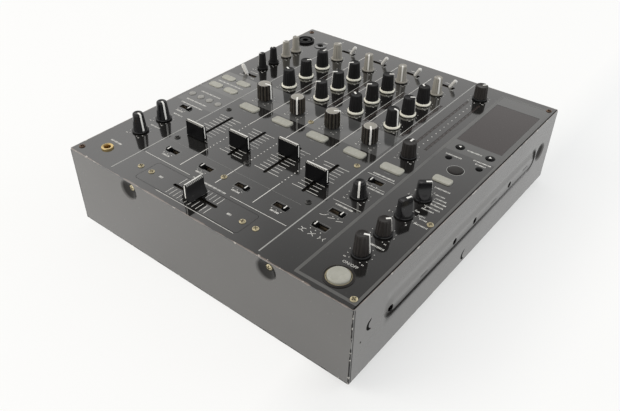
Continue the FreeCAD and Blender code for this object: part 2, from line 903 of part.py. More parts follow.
def wall_screw(place, inward):
    """A screw in the bottom of a dish, with its head towards the outside."""
    outward = point(*inward).multiply(-1)
    seat = point(*place).add(point(*inward).multiply(dish_depth))
    head = Part.makeCylinder(screw_head_radius, screw_head_height, seat, outward)
    shank = Part.makeCylinder(screw_shank, screw_length, seat, point(*inward))
    return head.fuse(shank)


def wall_screw_places():
    """Front and side dishes: a point on the wall's outer face, and the way inwards."""
    places = [((side * dish_spread, front_edge, dish_z), (0, 1, 0)) for side in (-1, 1)]
    return places + [((side * body_width / 2, rear_dish_place, rear_dish_top), (-side, 0, 0))
                     for side in (-1, 1)]


def foot_places():
    """Centres of the four feet."""
    return [(side * (body_width / 2 - foot_inset), y) for side in (-1, 1)
            for y in (front_edge + foot_inset, rear_edge - foot_inset)]


def foot_screw(x, y):
    """A screw up through a foot into the floor of the case."""
    head = post(x, y, screw_head_radius, foot_height / 2 - screw_head_height, foot_height / 2)
    return head.fuse(post(x, y, screw_shank, foot_height / 2, foot_height + screw_length))


def screws():
    """Every screw that shows."""
    top = [panel_screw(x, y) for x, y in corner_screws() + board_screws() + plate_screws()]
    sides = [wall_screw(place, inward) for place, inward in wall_screw_places()]
    return top + sides + [foot_screw(x, y) for x, y in foot_places()]


def foot(x, y):
    """A tapered rubber foot with a pocket for its screw."""
    lean = foot_radius / 10
    body = spun(x, y, 0, [(0, 0), (foot_radius - lean, 0), (foot_radius, foot_height), (0, foot_height)])
    pocket = post(x, y, screw_head_radius + slide_gap, -through, foot_height / 2)
    return body.cut([pocket, post(x, y, screw_hole, 0, foot_height + through)])


# The case
def dish_tools(place, inward):
    """What a pressed dish adds behind the wall, and what it takes away."""
    way = point(*inward)
    chord = (dish_radius ** 2 + dish_depth ** 2) / (2 * dish_depth)
    centre = point(*place).add(point(*inward).multiply(dish_depth - chord))
    shell = Part.makeSphere(chord + wall_thickness, centre)
    window = Part.makeCylinder(dish_radius + wall_thickness, dish_seat, point(*place), way)
    inside = box(0, middle_y, body_width, body_depth, foot_height, panel_under)
    hollow = Part.makeSphere(chord, centre)
    flat = Part.makeCylinder(dish_flat, dish_depth, point(*place), way)
    hole = Part.makeCylinder(screw_hole, dish_seat + screw_length, point(*place), way)
    return shell.common(window).common(inside), [hollow, flat, hole]


def stadium(x, half, low_y_end, high_y_end, z):
    """A long outline with round ends, standing in the plane of a side wall."""
    bottom = [point(x, low_y_end + half, z - half), point(x, high_y_end - half, z - half)]
    top = [point(x, high_y_end - half, z + half), point(x, low_y_end + half, z + half)]
    return Part.Wire([Part.makeLine(*bottom),
                      Part.Arc(bottom[1], point(x, high_y_end, z), top[0]).toShape(),
                      Part.makeLine(*top),
                      Part.Arc(top[1], point(x, low_y_end, z), bottom[0]).toShape()])


def bead(side, shift):
    """The long raised bead of a side wall, moved out by an amount. Its flank rises on a cosine."""
    x = side * (body_width / 2 + shift)
    z = foot_height + bead_height
    start = front_edge + bead_front
    end = front_edge + bead_rear
    sections = []
    for step in range(bead_steps + 1):
        share = step / bead_steps
        inset = bead_slope * share
        rise = bead_rise * (1 - math.cos(math.pi * share)) / 2
        sections.append(stadium(x + side * rise, bead_half - inset, start + inset, end - inset, z))
    return Part.makeLoft(sections, True, True)


def across_wall(side, y, z, radius):
    """A round cutter through a side wall."""
    start = point(side * (body_width / 2 - wall_thickness - through), front_edge + y, foot_height + z)
    return Part.makeCylinder(radius, wall_thickness + 2 * through + bead_rise, start, point(side, 0, 0))


def side_cuts(side):
    """Holes, slits and half-punched discs in a side wall."""
    cuts = [across_wall(side, y, bead_height, side_hole_radius) for y in side_holes]
    cuts.append(across_wall(side, pin_hole_y, pin_hole_z, pin_hole_radius))
    reach = wall_thickness + 2 * through + bead_rise
    for y in slits:
        low = foot_height + bead_height - slit_width / 2
        cuts.append(box(side * (body_width / 2), front_edge + y, 2 * reach, slit_length,
                        low, low + slit_width))
    for y, z in knockouts:
        ring = across_wall(side, y, z, knockout_radius)
        ring = ring.cut(across_wall(side, y, z, knockout_radius - knockout_slot))
        front_half = box(side * body_width / 2, front_edge + y - knockout_radius, 4 * reach,
                         2 * knockout_radius, foot_height + z - 2 * knockout_radius,
                         foot_height + z + 2 * knockout_radius)
        cuts.append(ring.common(front_half))
    return cuts


def chassis_tray():
    """Floor, front wall and side walls, folded from one sheet with open corners."""
    floor = box(0, middle_y, body_width, body_depth, foot_height, floor_top)
    front = box(0, front_edge + wall_thickness / 2, body_width, wall_thickness, foot_height, panel_under)
    pieces = [front]
    cuts = []
    wall_start = front_edge + wall_thickness + corner_seam
    for side in (-1, 1):
        wall = box(side * (body_width - wall_thickness) / 2, (wall_start + rear_edge) / 2, wall_thickness,
                   rear_edge - wall_start, foot_height, panel_under)
        pieces += [wall.cut(bead(side, -wall_thickness)), bead(side, 0)]
        cuts += side_cuts(side)
    for place, inward in wall_screw_places():
        bump, taken = dish_tools(place, inward)
        pieces.append(bump)
        cuts += taken
    for x, y in corner_screws():
        side = math.copysign(1, x)
        y_mid = max(y, wall_start + tab_depth / 2)
        pieces.append(box(side * (body_width - tab_width) / 2, min(y_mid, rear_edge - tab_depth / 2),
                          tab_width, tab_depth, panel_under - wall_thickness, panel_under))
        cuts.append(post(x, y, screw_hole, panel_under - screw_length, panel_top))
    pieces += [post(x, y, spacer_radius, floor_top, floor_top + spacer_height) for x, y in spacer_places()]
    cuts += [post(x, y, screw_hole, foot_height - through, foot_height + screw_length + through)
             for x, y in foot_places()]
    return floor.fuse(pieces).cut(cuts)


def panel_holes():
    """Cutters for everything that comes up through the panel."""
    low = panel_under - through
    high = panel_top + through
    cuts = []
    for _, x, y, _, kind in rotary_controls():
        cuts.append(post(x, y, knob_kind(kind)[5] + bushing_wall + socket_gap, low, high))
    for x in channel_x:
        cuts.append(box(x, front_edge + fader_y, fader_slot_width, fader_slot_length, low, high))
    for _, x, y, _ in toggle_places():
        cuts.append(rounded(x, y, toggle_slot_length, toggle_slot_width, toggle_slot_width / 3, low, high))
    for x, y, _ in slide_switch_places():
        cuts.append(box(x, y, lever_window_length, lever_window_width, low, high))
    for shape, x, y, _ in all_buttons():
        cuts.append(button_outline(shape, x, y, button_gap, low, high))
    for x, y, size_x, size_y in window_places():
        cuts.append(box(x, y, size_x, size_y, low, high))
    places = socket_places()
    cuts += [post(*places[name], phone_neck_radius + socket_gap, low, high) for name in ("phones", "jack")]
    cuts.append(post(*places["combo"], combo_body_radius + socket_gap, low, high))
    cuts += [post(x, y, screw_hole, panel_top - screw_length, high)
             for x, y in corner_screws() + board_screws() + plate_screws()]
    cuts.append(rounded(cross_x, cross_y, cross_plate_length + 2 * plate_gap,
                        cross_plate_width + 2 * plate_gap, cross_plate_corner + plate_gap, low, high))
    return cuts


def top_panel():
    """The control panel, with the studs for its board and the tabs behind the front wall."""
    panel = rounded(0, middle_y, body_width, body_depth, panel_corner, panel_under, panel_top)
    studs = [post(x, y, stud_radius, board_top, panel_under) for x, y in board_screws()]
    tab_y = front_edge + dish_seat + wall_thickness / 2
    tabs = []
    holes = []
    for side in (-1, 1):
        tabs.append(box(side * dish_spread, tab_y, bracket_tab, wall_thickness,
                        dish_z - dish_radius, panel_under))
        holes.append(bar_y(side * dish_spread, dish_z, screw_hole, front_edge,
                           front_edge + dish_seat + screw_length))
    ring = post(effect_x, on_off_y, on_off_ring_radius, panel_top, panel_top + on_off_ring_rise)
    ring = ring.cut(post(effect_x, on_off_y, on_off_ring_radius - on_off_ring_wall,
                         panel_top, panel_top + on_off_ring_rise))
    return panel.fuse(studs + tabs + [ring]).cut(panel_holes() + holes)


# The rear of the mixer
panel_back = rear_edge - wall_thickness
jack_z = panel_top - jack_drop
xlr_z = panel_top - xlr_drop
rocker_z = panel_top - rocker_drop
inlet_z = rocker_z - rocker_to_inlet


def rca_places():
    """Centres of the phono sockets."""
    return [(rca_right - column * rca_pitch_x, jack_z - jack_to_rca - row * rca_pitch_z)
            for column in range(rca_columns) for row in range(rca_rows)]


def line_jack_places():
    """Centres of the rear jack sockets."""
    return [(jack_right + i * jack_pitch, jack_z) for i in range(jack_count)]


def xlr_places():
    """Centres of the two balanced outputs."""
    return [(xlr_x + i * xlr_pitch_x, xlr_z) for i in range(2)]


def rca_socket(x, z):
    """A phono socket: barrel, collar, neck through the panel and block behind it."""
    collar_end = rear_edge + rca_collar
    block = box(x, panel_back - rca_block_depth / 2, rca_block, rca_block_depth,
                z - rca_block / 2, z + rca_block / 2)
    neck = bar_y(x, z, rca_neck, panel_back, rear_edge)
    collar = bar_y(x, z, rca_collar_radius, rear_edge, collar_end)
    barrel = bar_y(x, z, rca_barrel, collar_end, collar_end + rca_reach)
    bore = bar_y(x, z, rca_bore, rear_edge, rear_edge + 2 * rear_reach)
    return block.fuse([neck, collar, barrel]).cut(bore)


def line_jack(x, z):
    """A quarter-inch jack in the rear panel."""
    body = box(x, panel_back - phone_body_depth / 2, phone_body_size, phone_body_depth,
               z - phone_body_size / 2, z + phone_body_size / 2)
    neck = bar_y(x, z, phone_neck_radius, panel_back, rear_edge)
    mouth = rear_edge + phone_nut_height
    nut = bar_y(x, z, line_jack_nut, rear_edge, mouth)
    return body.fuse([neck, nut]).cut(bar_y(x, z, phone_bore, mouth - phone_bore_depth, mouth + through))


def xlr_output(x, z):
    """A balanced output with three pins in a round recess."""
    mouth = rear_edge + xlr_flange
    flange = box(x, rear_edge + xlr_flange / 2, xlr_width, xlr_flange, z - xlr_tall / 2, z + xlr_tall / 2)
    shell = bar_y(x, z, xlr_shell, mouth - xlr_body_depth, rear_edge)
    recess = bar_y(x, z, xlr_recess, mouth - xlr_recess_depth, mouth + through)
    body = flange.fuse(shell).cut(recess)
    pins = []
    for turn in (90, 210, 330):
        angle = math.radians(turn)
        pins.append(bar_y(x + xlr_pin_circle * math.cos(angle), z + xlr_pin_circle * math.sin(angle), xlr_pin,
                          mouth - xlr_body_depth, mouth - xlr_pin_short))
    return body.fuse(pins)


def mains_inlet():
    """The inlet for a mains lead, with its three blades."""
    x = inlet_x
    z = inlet_z
    mouth = rear_edge + inlet_flange
    body = box(x, mouth - inlet_body_depth / 2, inlet_body_width, inlet_body_depth,
               z - inlet_body_tall / 2, z + inlet_body_tall / 2)
    flange = box(x, rear_edge + inlet_flange / 2, inlet_width, inlet_flange,
                 z - inlet_tall / 2, z + inlet_tall / 2)
    recess = box(x, mouth - inlet_recess_depth / 2 + through / 2, inlet_recess_width,
                 inlet_recess_depth + through, z - inlet_recess_tall / 2, z + inlet_recess_tall / 2)
    blades = []
    for step, lift in ((-1, -1), (1, -1), (0, 1)):
        blade_z = z + lift * inlet_pin_drop
        blades.append(box(x + step * inlet_pin_pitch, mouth - inlet_recess_depth + inlet_pin_length / 2,
                          inlet_pin_width, inlet_pin_length, blade_z - inlet_pin_tall / 2,
                          blade_z + inlet_pin_tall / 2))
    return body.fuse(flange).cut(recess).fuse(blades)


rocker_inner_width = rocker_bezel_width - 2 * rocker_wall
rocker_inner_tall = rocker_bezel_tall - 2 * rocker_wall
rocker_face = rear_edge + rocker_bezel
rocker_axis = rocker_face - rocker_thickness / 2


def rocker_frame():
    """The frame of the power switch."""
    z = rocker_z
    body_width_here = rocker_bezel_width - rocker_wall
    body_tall_here = rocker_bezel_tall - rocker_wall
    bezel = box(rocker_x, rear_edge + rocker_bezel / 2, rocker_bezel_width, rocker_bezel,
                z - rocker_bezel_tall / 2, z + rocker_bezel_tall / 2)
    body = box(rocker_x, rear_edge - rocker_body_depth / 2, body_width_here, rocker_body_depth,
               z - body_tall_here / 2, z + body_tall_here / 2)
    room_start = rocker_axis - rocker_thickness
    room = box(rocker_x, (room_start + rocker_face + through) / 2, rocker_inner_width,
               rocker_face + through - room_start, z - rocker_inner_tall / 2, z + rocker_inner_tall / 2)
    pins = Part.makeCylinder(rocker_pin + running_fit, rocker_inner_width + 2 * rocker_pin_length,
                             point(rocker_x - rocker_inner_width / 2 - rocker_pin_length, rocker_axis, z),
                             point(1, 0, 0))
    return bezel.fuse(body).cut([room, pins])


def power_rocker():
    """The power rocker, tipped to one side on its pins."""
    z = rocker_z
    half = rocker_inner_tall / 2 - 2 * rocker_gap
    rise = half * math.tan(math.radians(rocker_tilt))
    width = rocker_inner_width - 2 * rocker_gap
    start = rocker_x - width / 2
    face = rocker_axis + rocker_thickness / 2
    low = rocker_axis - rocker_thickness / 2
    corners = [(start, low, z), (start, low + rise, z - half), (start, face, z - half),
               (start, face - rise, z), (start, face, z + half), (start, low + rise, z + half)]
    rocker = prism(corners, (width, 0, 0))
    reach = rocker_inner_width + 2 * (rocker_pin_length - press_gap)
    pins = Part.makeCylinder(rocker_pin, reach, point(rocker_x - reach / 2, rocker_axis, z), point(1, 0, 0))
    rocker = rocker.fuse(pins)
    rocker.rotate(point(rocker_x, rocker_axis, z), point(1, 0, 0), rocker_tilt)
    return [rocker]


def rear_panel():
    """The connector plate, with side flanges that the case is screwed to."""
    plate = box(0, rear_edge - wall_thickness / 2, body_width - 2 * wall_thickness, wall_thickness,
                floor_top, panel_under)
    flanges = []
    cuts = []
    for side in (-1, 1):
        x = side * (body_width / 2 - dish_seat - wall_thickness / 2)
        flanges.append(box(x, rear_edge - rear_flange_length / 2, wall_thickness, rear_flange_length,
                           foot_height + rear_flange_low, foot_height + rear_flange_high))
        start = point(side * body_width / 2, rear_dish_place, rear_dish_top)
        cuts.append(Part.makeCylinder(screw_hole, dish_seat + screw_length, start, point(-side, 0, 0)))
        cuts.append(box(side * body_width / 2, rear_edge, 2 * tab_width + 2 * wall_thickness,
                        2 * tab_depth, panel_under - wall_thickness, panel_top))
    cuts += [bar_y(x, z, rca_neck + socket_gap, panel_back - through, rear_edge + through)
             for x, z in rca_places()]
    cuts += [bar_y(x, z, phone_neck_radius + socket_gap, panel_back - through, rear_edge + through)
             for x, z in line_jack_places()]
    cuts += [bar_y(x, z, xlr_shell + socket_gap, panel_back - through, rear_edge + through)
             for x, z in xlr_places()]
    z = inlet_z
    cuts.append(box(inlet_x, rear_edge, inlet_body_width + 2 * socket_gap, 4 * wall_thickness,
                    z - inlet_body_tall / 2 - socket_gap, z + inlet_body_tall / 2 + socket_gap))
    z = rocker_z
    half = (rocker_bezel_tall - rocker_wall) / 2 + socket_gap
    cuts.append(box(rocker_x, rear_edge, rocker_bezel_width - rocker_wall + 2 * socket_gap,
                    4 * wall_thickness, z - half, z + half))
    return plate.fuse(flanges).cut(cuts)


def rear_connectors():
    """Everything that is plugged into at the rear, and the frame of the power switch."""
    sockets = [rca_socket(x, z) for x, z in rca_places()]
    sockets += [line_jack(x, z) for x, z in line_jack_places()]
    sockets += [xlr_output(x, z) for x, z in xlr_places()]
    return sockets + [mains_inlet(), rocker_frame()]


# Boards inside
main_board_low = floor_top + spacer_height


def board_rectangles():
    """Left, right, front and rear edges of the two boards on the floor."""
    rear = front_edge + main_board_rear
    sides = ((main_board_left, main_board_right, main_board_front),
             (power_board_left, power_board_right, power_board_front))
    return [(left_edge + left, left_edge + right, front_edge + front, rear) for left, right, front in sides]


def spacer_places():
    """Pillars of the floor, under the corners of the boards."""
    places = []
    for left, right, front, rear in board_rectangles():
        for x in (left + 2 * spacer_radius, right - 2 * spacer_radius):
            places += [(x, front + 2 * spacer_radius), (x, rear - 2 * spacer_radius)]
    return places


def circuit_boards():
    """The control board under the panel, and the main and power boards on the floor."""
    front = front_edge + board_front_margin
    rear = rear_edge - board_rear_margin
    low = board_top - board_thickness
    control = box(0, (front + rear) / 2, body_width - 2 * board_side_margin, rear - front, low, board_top)
    places = socket_places()
    opening = phone_body_size + 2 * socket_gap
    holes = [box(*places[name], opening, opening, low - through, board_top + through)
             for name in ("phones", "jack")]
    holes.append(post(*places["combo"], combo_body_radius + socket_gap, low - through, board_top + through))
    boards = [control.cut(holes)]
    for left, right, front, rear in board_rectangles():
        boards.append(Part.makeBox(right - left, rear - front, board_thickness,
                                   point(left, front, main_board_low)))
    left, right, front, rear = board_rectangles()[1]
    top = main_board_low + board_thickness
    centre_x = (left + right) / 2
    boards.append(box(centre_x, (front + rear) / 2, transformer_size, transformer_size,
                      top, top + transformer_height))
    boards += [post(centre_x + side * capacitor_pitch / 2, front + 2 * capacitor_radius, capacitor_radius,
                    top, top + capacitor_height) for side in (-1, 1)]
    return boards


def control_bodies():
    """The fixed cases of every control, on the control board or under the panel."""
    cases = [potentiometer(x, y, knob_kind(kind)[5]) for _, x, y, _, kind in rotary_controls()]
    cases += [fader_case(x, front_edge + fader_y) for x in channel_x]
    cases.append(crossfader_case())
    cases += [toggle_case(x, y) for _, x, y, _ in toggle_places()]
    cases += [slide_switch_case(x, y) for x, y, _ in slide_switch_places()]
    return cases + [push_switch(x, y) for _, x, y, _ in all_buttons()]


def pieces():
    """Every piece of the mixer by name, as a list of solids."""
    made = {
        "chassis_tray": [chassis_tray()],
        "top_panel": [top_panel()],
        "rear_panel": [rear_panel()],
        "crossfader_plate": [crossfader_plate()],
        "rubber_feet": [foot(x, y) for x, y in foot_places()],
        "screws": screws(),
        "circuit_boards": circuit_boards(),
        "control_bodies": control_bodies(),
        "panel_jacks": panel_jacks(),
        "rear_connectors": rear_connectors(),
        "display_windows": windows(),
    }
    for name, x, y, turn, kind in rotary_controls():
        made[name] = knob(x, y, turn, kind)
    start = front_edge + fader_y - fader_travel / 2
    for i, x in enumerate(channel_x):
        made[f"channel_fader_{i + 1}"] = channel_fader(x, start + fader_set[i % 4])
    made["crossfader"] = crossfader(cross_x, cross_y)
    for name, x, y, side in toggle_places():
        made[name] = toggle_lever(x, y, side)
    made["on_off_button"] = [button(*on_off_key())]
    made["lit_buttons"] = [button(*key) for key in cue_buttons() + pad_buttons()]
    made["small_buttons"] = [button(*key) for key in small_keys()]
    made["switch_levers_left"] = switch_levers(-1)
    made["switch_levers_right"] = switch_levers(1)
    made["power_rocker"] = power_rocker()
    return made


os.makedirs("parts", exist_ok=True)
for name, solids in pieces().items():
    shape = solids[0] if len(solids) == 1 else Part.makeCompound(solids)
    shape.exportStep(f"parts/{name}.step")
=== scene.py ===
# %% [markdown]
# # A worn four-channel club mixer
# The CAD model already holds every piece of the mixer in its place. This lesson keeps it as a fixed frame
# and gives it its looks: aged paint, moulded grips, printed marks and plated metal. Lengths below are in
# millimetres, and every mesh is scaled to metres when it is made.

# %% Load the frame
import json
import math
from collections import namedtuple

import bmesh
import bpy
import numpy as np
from mathutils import Matrix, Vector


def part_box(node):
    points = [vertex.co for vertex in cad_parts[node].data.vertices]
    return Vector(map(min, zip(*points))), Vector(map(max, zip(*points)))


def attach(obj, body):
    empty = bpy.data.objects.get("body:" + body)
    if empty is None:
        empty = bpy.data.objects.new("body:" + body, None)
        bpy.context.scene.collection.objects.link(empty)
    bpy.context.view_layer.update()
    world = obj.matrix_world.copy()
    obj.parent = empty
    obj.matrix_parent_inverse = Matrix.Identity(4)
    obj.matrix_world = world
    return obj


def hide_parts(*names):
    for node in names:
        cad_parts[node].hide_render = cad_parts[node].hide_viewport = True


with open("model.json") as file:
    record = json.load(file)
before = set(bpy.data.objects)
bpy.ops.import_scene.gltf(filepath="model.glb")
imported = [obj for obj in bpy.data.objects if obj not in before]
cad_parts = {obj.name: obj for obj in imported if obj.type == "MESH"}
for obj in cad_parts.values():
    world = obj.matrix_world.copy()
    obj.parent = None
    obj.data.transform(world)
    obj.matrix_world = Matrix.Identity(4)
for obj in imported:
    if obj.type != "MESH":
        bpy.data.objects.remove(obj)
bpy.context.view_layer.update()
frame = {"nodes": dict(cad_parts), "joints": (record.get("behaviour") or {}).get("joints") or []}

nodes = frame["nodes"]
MM = 0.001

# %% [markdown]
# ## Places taken from the frame
# Every knob and toggle turns on a joint, so the joints already say where the controls are and how they are
# set. The middle of a knob's range is where its pointer aims at the rear edge, so the pointer's setting is
# the middle of the range. Reading them keeps the looks true to the model.

# %% Places of the controls
spot = {}
setting = {}
for joint in frame["joints"]:
    if joint["type"] == "hinge":
        spot[joint["child"]] = np.array(joint["pos_m"]) / MM
        setting[joint["child"]] = sum(joint["range_deg"]) / 2


def box_mm(node):
    """Lowest corner, highest corner and middle of a CAD node, in millimetres."""
    low, high = (np.array(corner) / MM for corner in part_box(node))
    return low, high, (low + high) / 2


panel_low, panel_high, _ = box_mm("top_panel")
TOP = box_mm("crossfader_plate")[1][2]
LEFT, FRONT = panel_low[:2]
RIGHT, REAR = panel_high[:2]
CHANNELS = [spot[f"trim_knob_{i}"][0] for i in range(1, 5)]
KNOBS = [name for name in spot if "knob" in name or "selector" in name]
print("panel top", TOP, "knobs", len(KNOBS))

# %% [markdown]
# ## Skins from rings
# Nearly everything here is a stack of closed rings: a knob is a circle whose radius changes with height, a
# button is a rounded rectangle that shrinks towards its top, a fader cap is a profile carried along its
# width. One function closes a stack with flat ends, and another joins the last ring to the first. A skin is
# its points, its faces and the number of its finish.


# %% Skins
def skin(rings, number=0):
    """Quads between each ring and the next, closed round the ring, and a flat cap on both ends."""
    rows, cols = rings.shape[:2]
    row, col = np.meshgrid(np.arange(rows - 1), np.arange(cols), indexing="ij")
    here = row * cols + col
    beside = row * cols + (col + 1) % cols
    faces = np.stack([here, beside, beside + cols, here + cols], axis=-1).reshape(-1, 4).tolist()
    first = np.arange(cols)
    return rings.reshape(-1, 3), faces + [first[::-1].tolist(), (first + (rows - 1) * cols).tolist()], number


def ring_skin(rings, number=0):
    """Quads between each ring and the next, closed round the ring and from the last one back to the first."""
    points, faces, _ = skin(np.concatenate([rings, rings[:1]]))
    count = rings.shape[0] * rings.shape[1]
    return points[:count], [[corner % count for corner in face] for face in faces[:-2]], number


def laid(skins, turn, place=(0, 0, 0)):
    """The same skins, with every point multiplied by a turning matrix and moved to a place."""
    return [(points @ turn + np.asarray(place), faces, number) for points, faces, number in skins]


def moved(skins, place, turn=0.0):
    """The same skins turned clockwise about Z, seen from above, and moved to a place."""
    c, s = math.cos(-math.radians(turn)), math.sin(-math.radians(turn))
    return laid(skins, np.array([[c, s, 0], [-s, c, 0], [0, 0, 1]]), place)


print("skins ready")

# %% [markdown]
# ## Outlines and profiles
# Three ways of making rings cover the whole mixer. Turning a profile gives knobs, screws and sockets,
# stacking rounded rectangles gives buttons and plates, and carrying the corners of a cross-section along a
# path gives strips and levers.


# %% Rings
LEAST_CORNER = 0.05


def turned(profile, sides=64, flutes=0, depth=0.0, sharp=1.0):
    """A turned surface: x = r cos a, y = r sin a, with r taken from the profile's radius and height pairs.
    Flutes take depth * ((1 - cos(n (a - 90 degrees))) / 2) ** sharp off the radius, times column three."""
    profile = np.asarray(profile, float)
    angle = np.linspace(0, 2 * np.pi, sides, endpoint=False)[None, :]
    groove = (0.5 - 0.5 * np.cos(flutes * (angle - np.pi / 2))) ** sharp if flutes else 0 * angle
    share = profile[:, 2:3] if profile.shape[1] > 2 else np.zeros((len(profile), 1))
    radius = profile[:, :1] - depth * share * groove
    height = np.broadcast_to(profile[:, 1:2], radius.shape)
    return np.stack([radius * np.cos(angle), radius * np.sin(angle), height], axis=-1)


def rounded(size_x, size_y, corner, steps=6):
    """A rounded rectangle: a quarter circle of the corner's radius round each of four centres."""
    angle = np.linspace(0, np.pi / 2, steps)[None, :] + np.arange(4)[:, None] * np.pi / 2
    side = np.array([[1, 1], [-1, 1], [-1, -1], [1, -1]])[:, None, :]
    centre = side * np.array([size_x / 2 - corner, size_y / 2 - corner])
    return (centre + corner * np.stack([np.cos(angle), np.sin(angle)], axis=-1)).reshape(-1, 2)


def stacked(levels):
    """Flat outlines of equal count, each lifted to its height."""
    return np.array([np.column_stack([line, np.full(len(line), height)]) for line, height in levels])


def stepped(size_x, size_y, corner, levels):
    """Rounded rectangles stacked up: each level is how far it is drawn in, and its height."""
    return stacked([(rounded(size_x - 2 * inset, size_y - 2 * inset, max(corner - inset, LEAST_CORNER)),
                     height) for inset, height in levels])


def swept(corners):
    """A cross-section carried along a path: each corner is the x, y and z of its own line along that path."""
    return np.stack([np.column_stack(np.broadcast_arrays(*corner)) for corner in corners], axis=1)


print("rings of a rounded outline:", len(rounded(2, 1, 0.2)), "points")

# %% [markdown]
# ## Pieces
# A piece is several skins joined into one mesh, with its finishes, the body it rides on and the CAD node it
# stands for. The faces are turned outwards by Blender, and edges sharper than the crease stay sharp.

# %% Pieces
CREASE = 38


def piece(name, skins, finishes, body, replaced=(), crease=CREASE):
    """Joins skins into one mesh in metres, turns its faces outwards and makes it ride on a body."""
    starts = np.cumsum([0] + [len(points) for points, _, _ in skins])
    points = np.concatenate([points for points, _, _ in skins]) * MM
    faces = [[start + corner for corner in face]
             for start, (_, part, _) in zip(starts, skins) for face in part]
    numbers = np.concatenate([np.broadcast_to(number, len(part)) for _, part, number in skins])
    mesh = bpy.data.meshes.new(name)
    mesh.from_pydata(points.tolist(), [], faces)
    mesh.polygons.foreach_set("material_index", numbers.astype(np.int32))
    work = bmesh.new()
    work.from_mesh(mesh)
    bmesh.ops.recalc_face_normals(work, faces=work.faces)
    work.to_mesh(mesh)
    work.free()
    mesh.shade_smooth()
    mesh.set_sharp_from_angle(angle=math.radians(crease))
    for material in finishes:
        mesh.materials.append(material)
    made = bpy.data.objects.new(name, mesh)
    bpy.context.scene.collection.objects.link(made)
    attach(made, body)
    for node in replaced:
        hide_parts(node)
    return made


print("edges over", CREASE, "degrees stay sharp")

# %% [markdown]
# Some nodes hold many separate solids, such as screws or feet, and the looks need the place of each one.
# Points that are joined by an edge belong together, so this helper spreads the lowest number of a point
# along the edges until every solid has one number.


# %% Boxes of separate solids
def solid_boxes(node):
    """Low corner, high corner and middle of each separate solid of a CAD node, in millimetres.
    Points joined by an edge take the lowest number among them, over and over, until nothing changes."""
    mesh = nodes[node].data
    points = np.empty(len(mesh.vertices) * 3)
    mesh.vertices.foreach_get("co", points)
    points = points.reshape(-1, 3) / MM
    same = np.unique(np.round(points, 2), axis=0, return_inverse=True)[1].reshape(-1)
    edges = np.empty(len(mesh.edges) * 2, np.int32)
    mesh.edges.foreach_get("vertices", edges)
    ends = same[edges.reshape(-1, 2)]
    label, before = np.arange(same.max() + 1), None
    while not np.array_equal(label, before):
        before, label = label, label.copy()
        lowest = before[ends].min(axis=1)
        np.minimum.at(label, ends[:, 0], lowest)
        np.minimum.at(label, ends[:, 1], lowest)
        label = label[label]
    parts = [points[label[same] == number] for number in np.unique(label)]
    return [(part.min(0), part.max(0), (part.min(0) + part.max(0)) / 2) for part in parts]


print("screws:", len(solid_boxes("screws")))

# %% [markdown]
# ## Short ways to write nodes
# Every material below is a small tree of nodes. These helpers make one node in a line: an input that is
# given a socket is linked, and one that is given a number or a colour is set.


# %% Node helpers
def add_node(tree, kind, inputs=(), **settings):
    """A shader node with its settings, whose inputs are linked to sockets or set to plain values."""
    node = tree.nodes.new("ShaderNode" + kind)
    for key, value in settings.items():
        setattr(node, key, value)
    for key, value in dict(inputs).items():
        if isinstance(value, bpy.types.NodeSocket):
            tree.links.new(value, node.inputs[key])
        else:
            node.inputs[key].default_value = value
    return node


def math_in(tree, operation, *values):
    """The result of a Math node."""
    return add_node(tree, "Math", enumerate(values), operation=operation).outputs[0]


def ramp_in(tree, value, low, high, start=0.0, end=1.0, **settings):
    """A value that goes from start to end while another one goes from low to high."""
    inputs = {"Value": value, "From Min": low, "From Max": high, "To Min": start, "To Max": end}
    return add_node(tree, "MapRange", inputs, **settings).outputs["Result"]


def mix_in(tree, share, under, over):
    """A colour between two others, each a socket or three numbers."""
    under, over = ((*colour, 1) if isinstance(colour, tuple) else colour for colour in (under, over))
    return add_node(tree, "Mix", {"Factor": share, "A": under, "B": over}, data_type="RGBA").outputs["Result"]


def noise_in(tree, place, scale, detail, distortion=0.0):
    """The value of a noise at a place."""
    inputs = {"Vector": place, "Scale": scale, "Detail": detail, "Distortion": distortion}
    return add_node(tree, "TexNoise", inputs).outputs["Fac"]


def new_group(name, inputs, outputs):
    """An empty node group, with its sockets given as names and kinds; hands back both of its ends as well."""
    group = bpy.data.node_groups.new(name, "ShaderNodeTree")
    for way, sockets in (("INPUT", inputs), ("OUTPUT", outputs)):
        for socket, kind in sockets.items():
            group.interface.new_socket(socket, in_out=way, socket_type="NodeSocket" + kind)
    return group, group.nodes.new("NodeGroupInput").outputs, group.nodes.new("NodeGroupOutput").inputs


print("node helpers ready")

# %% [markdown]
# ## Aged surfaces
# The real mixer has seen years of use: its paint is clouded, scuffed and dusty, and its plastic is rubbed.
# All finishes share one node group that mixes a base colour with a worn colour and dust, from noise on
# Object coordinates. Each material places that group with its own values, so the wear has one recipe and
# many strengths.

# %% The ageing group
GRAIN_SCALE = 2600.0


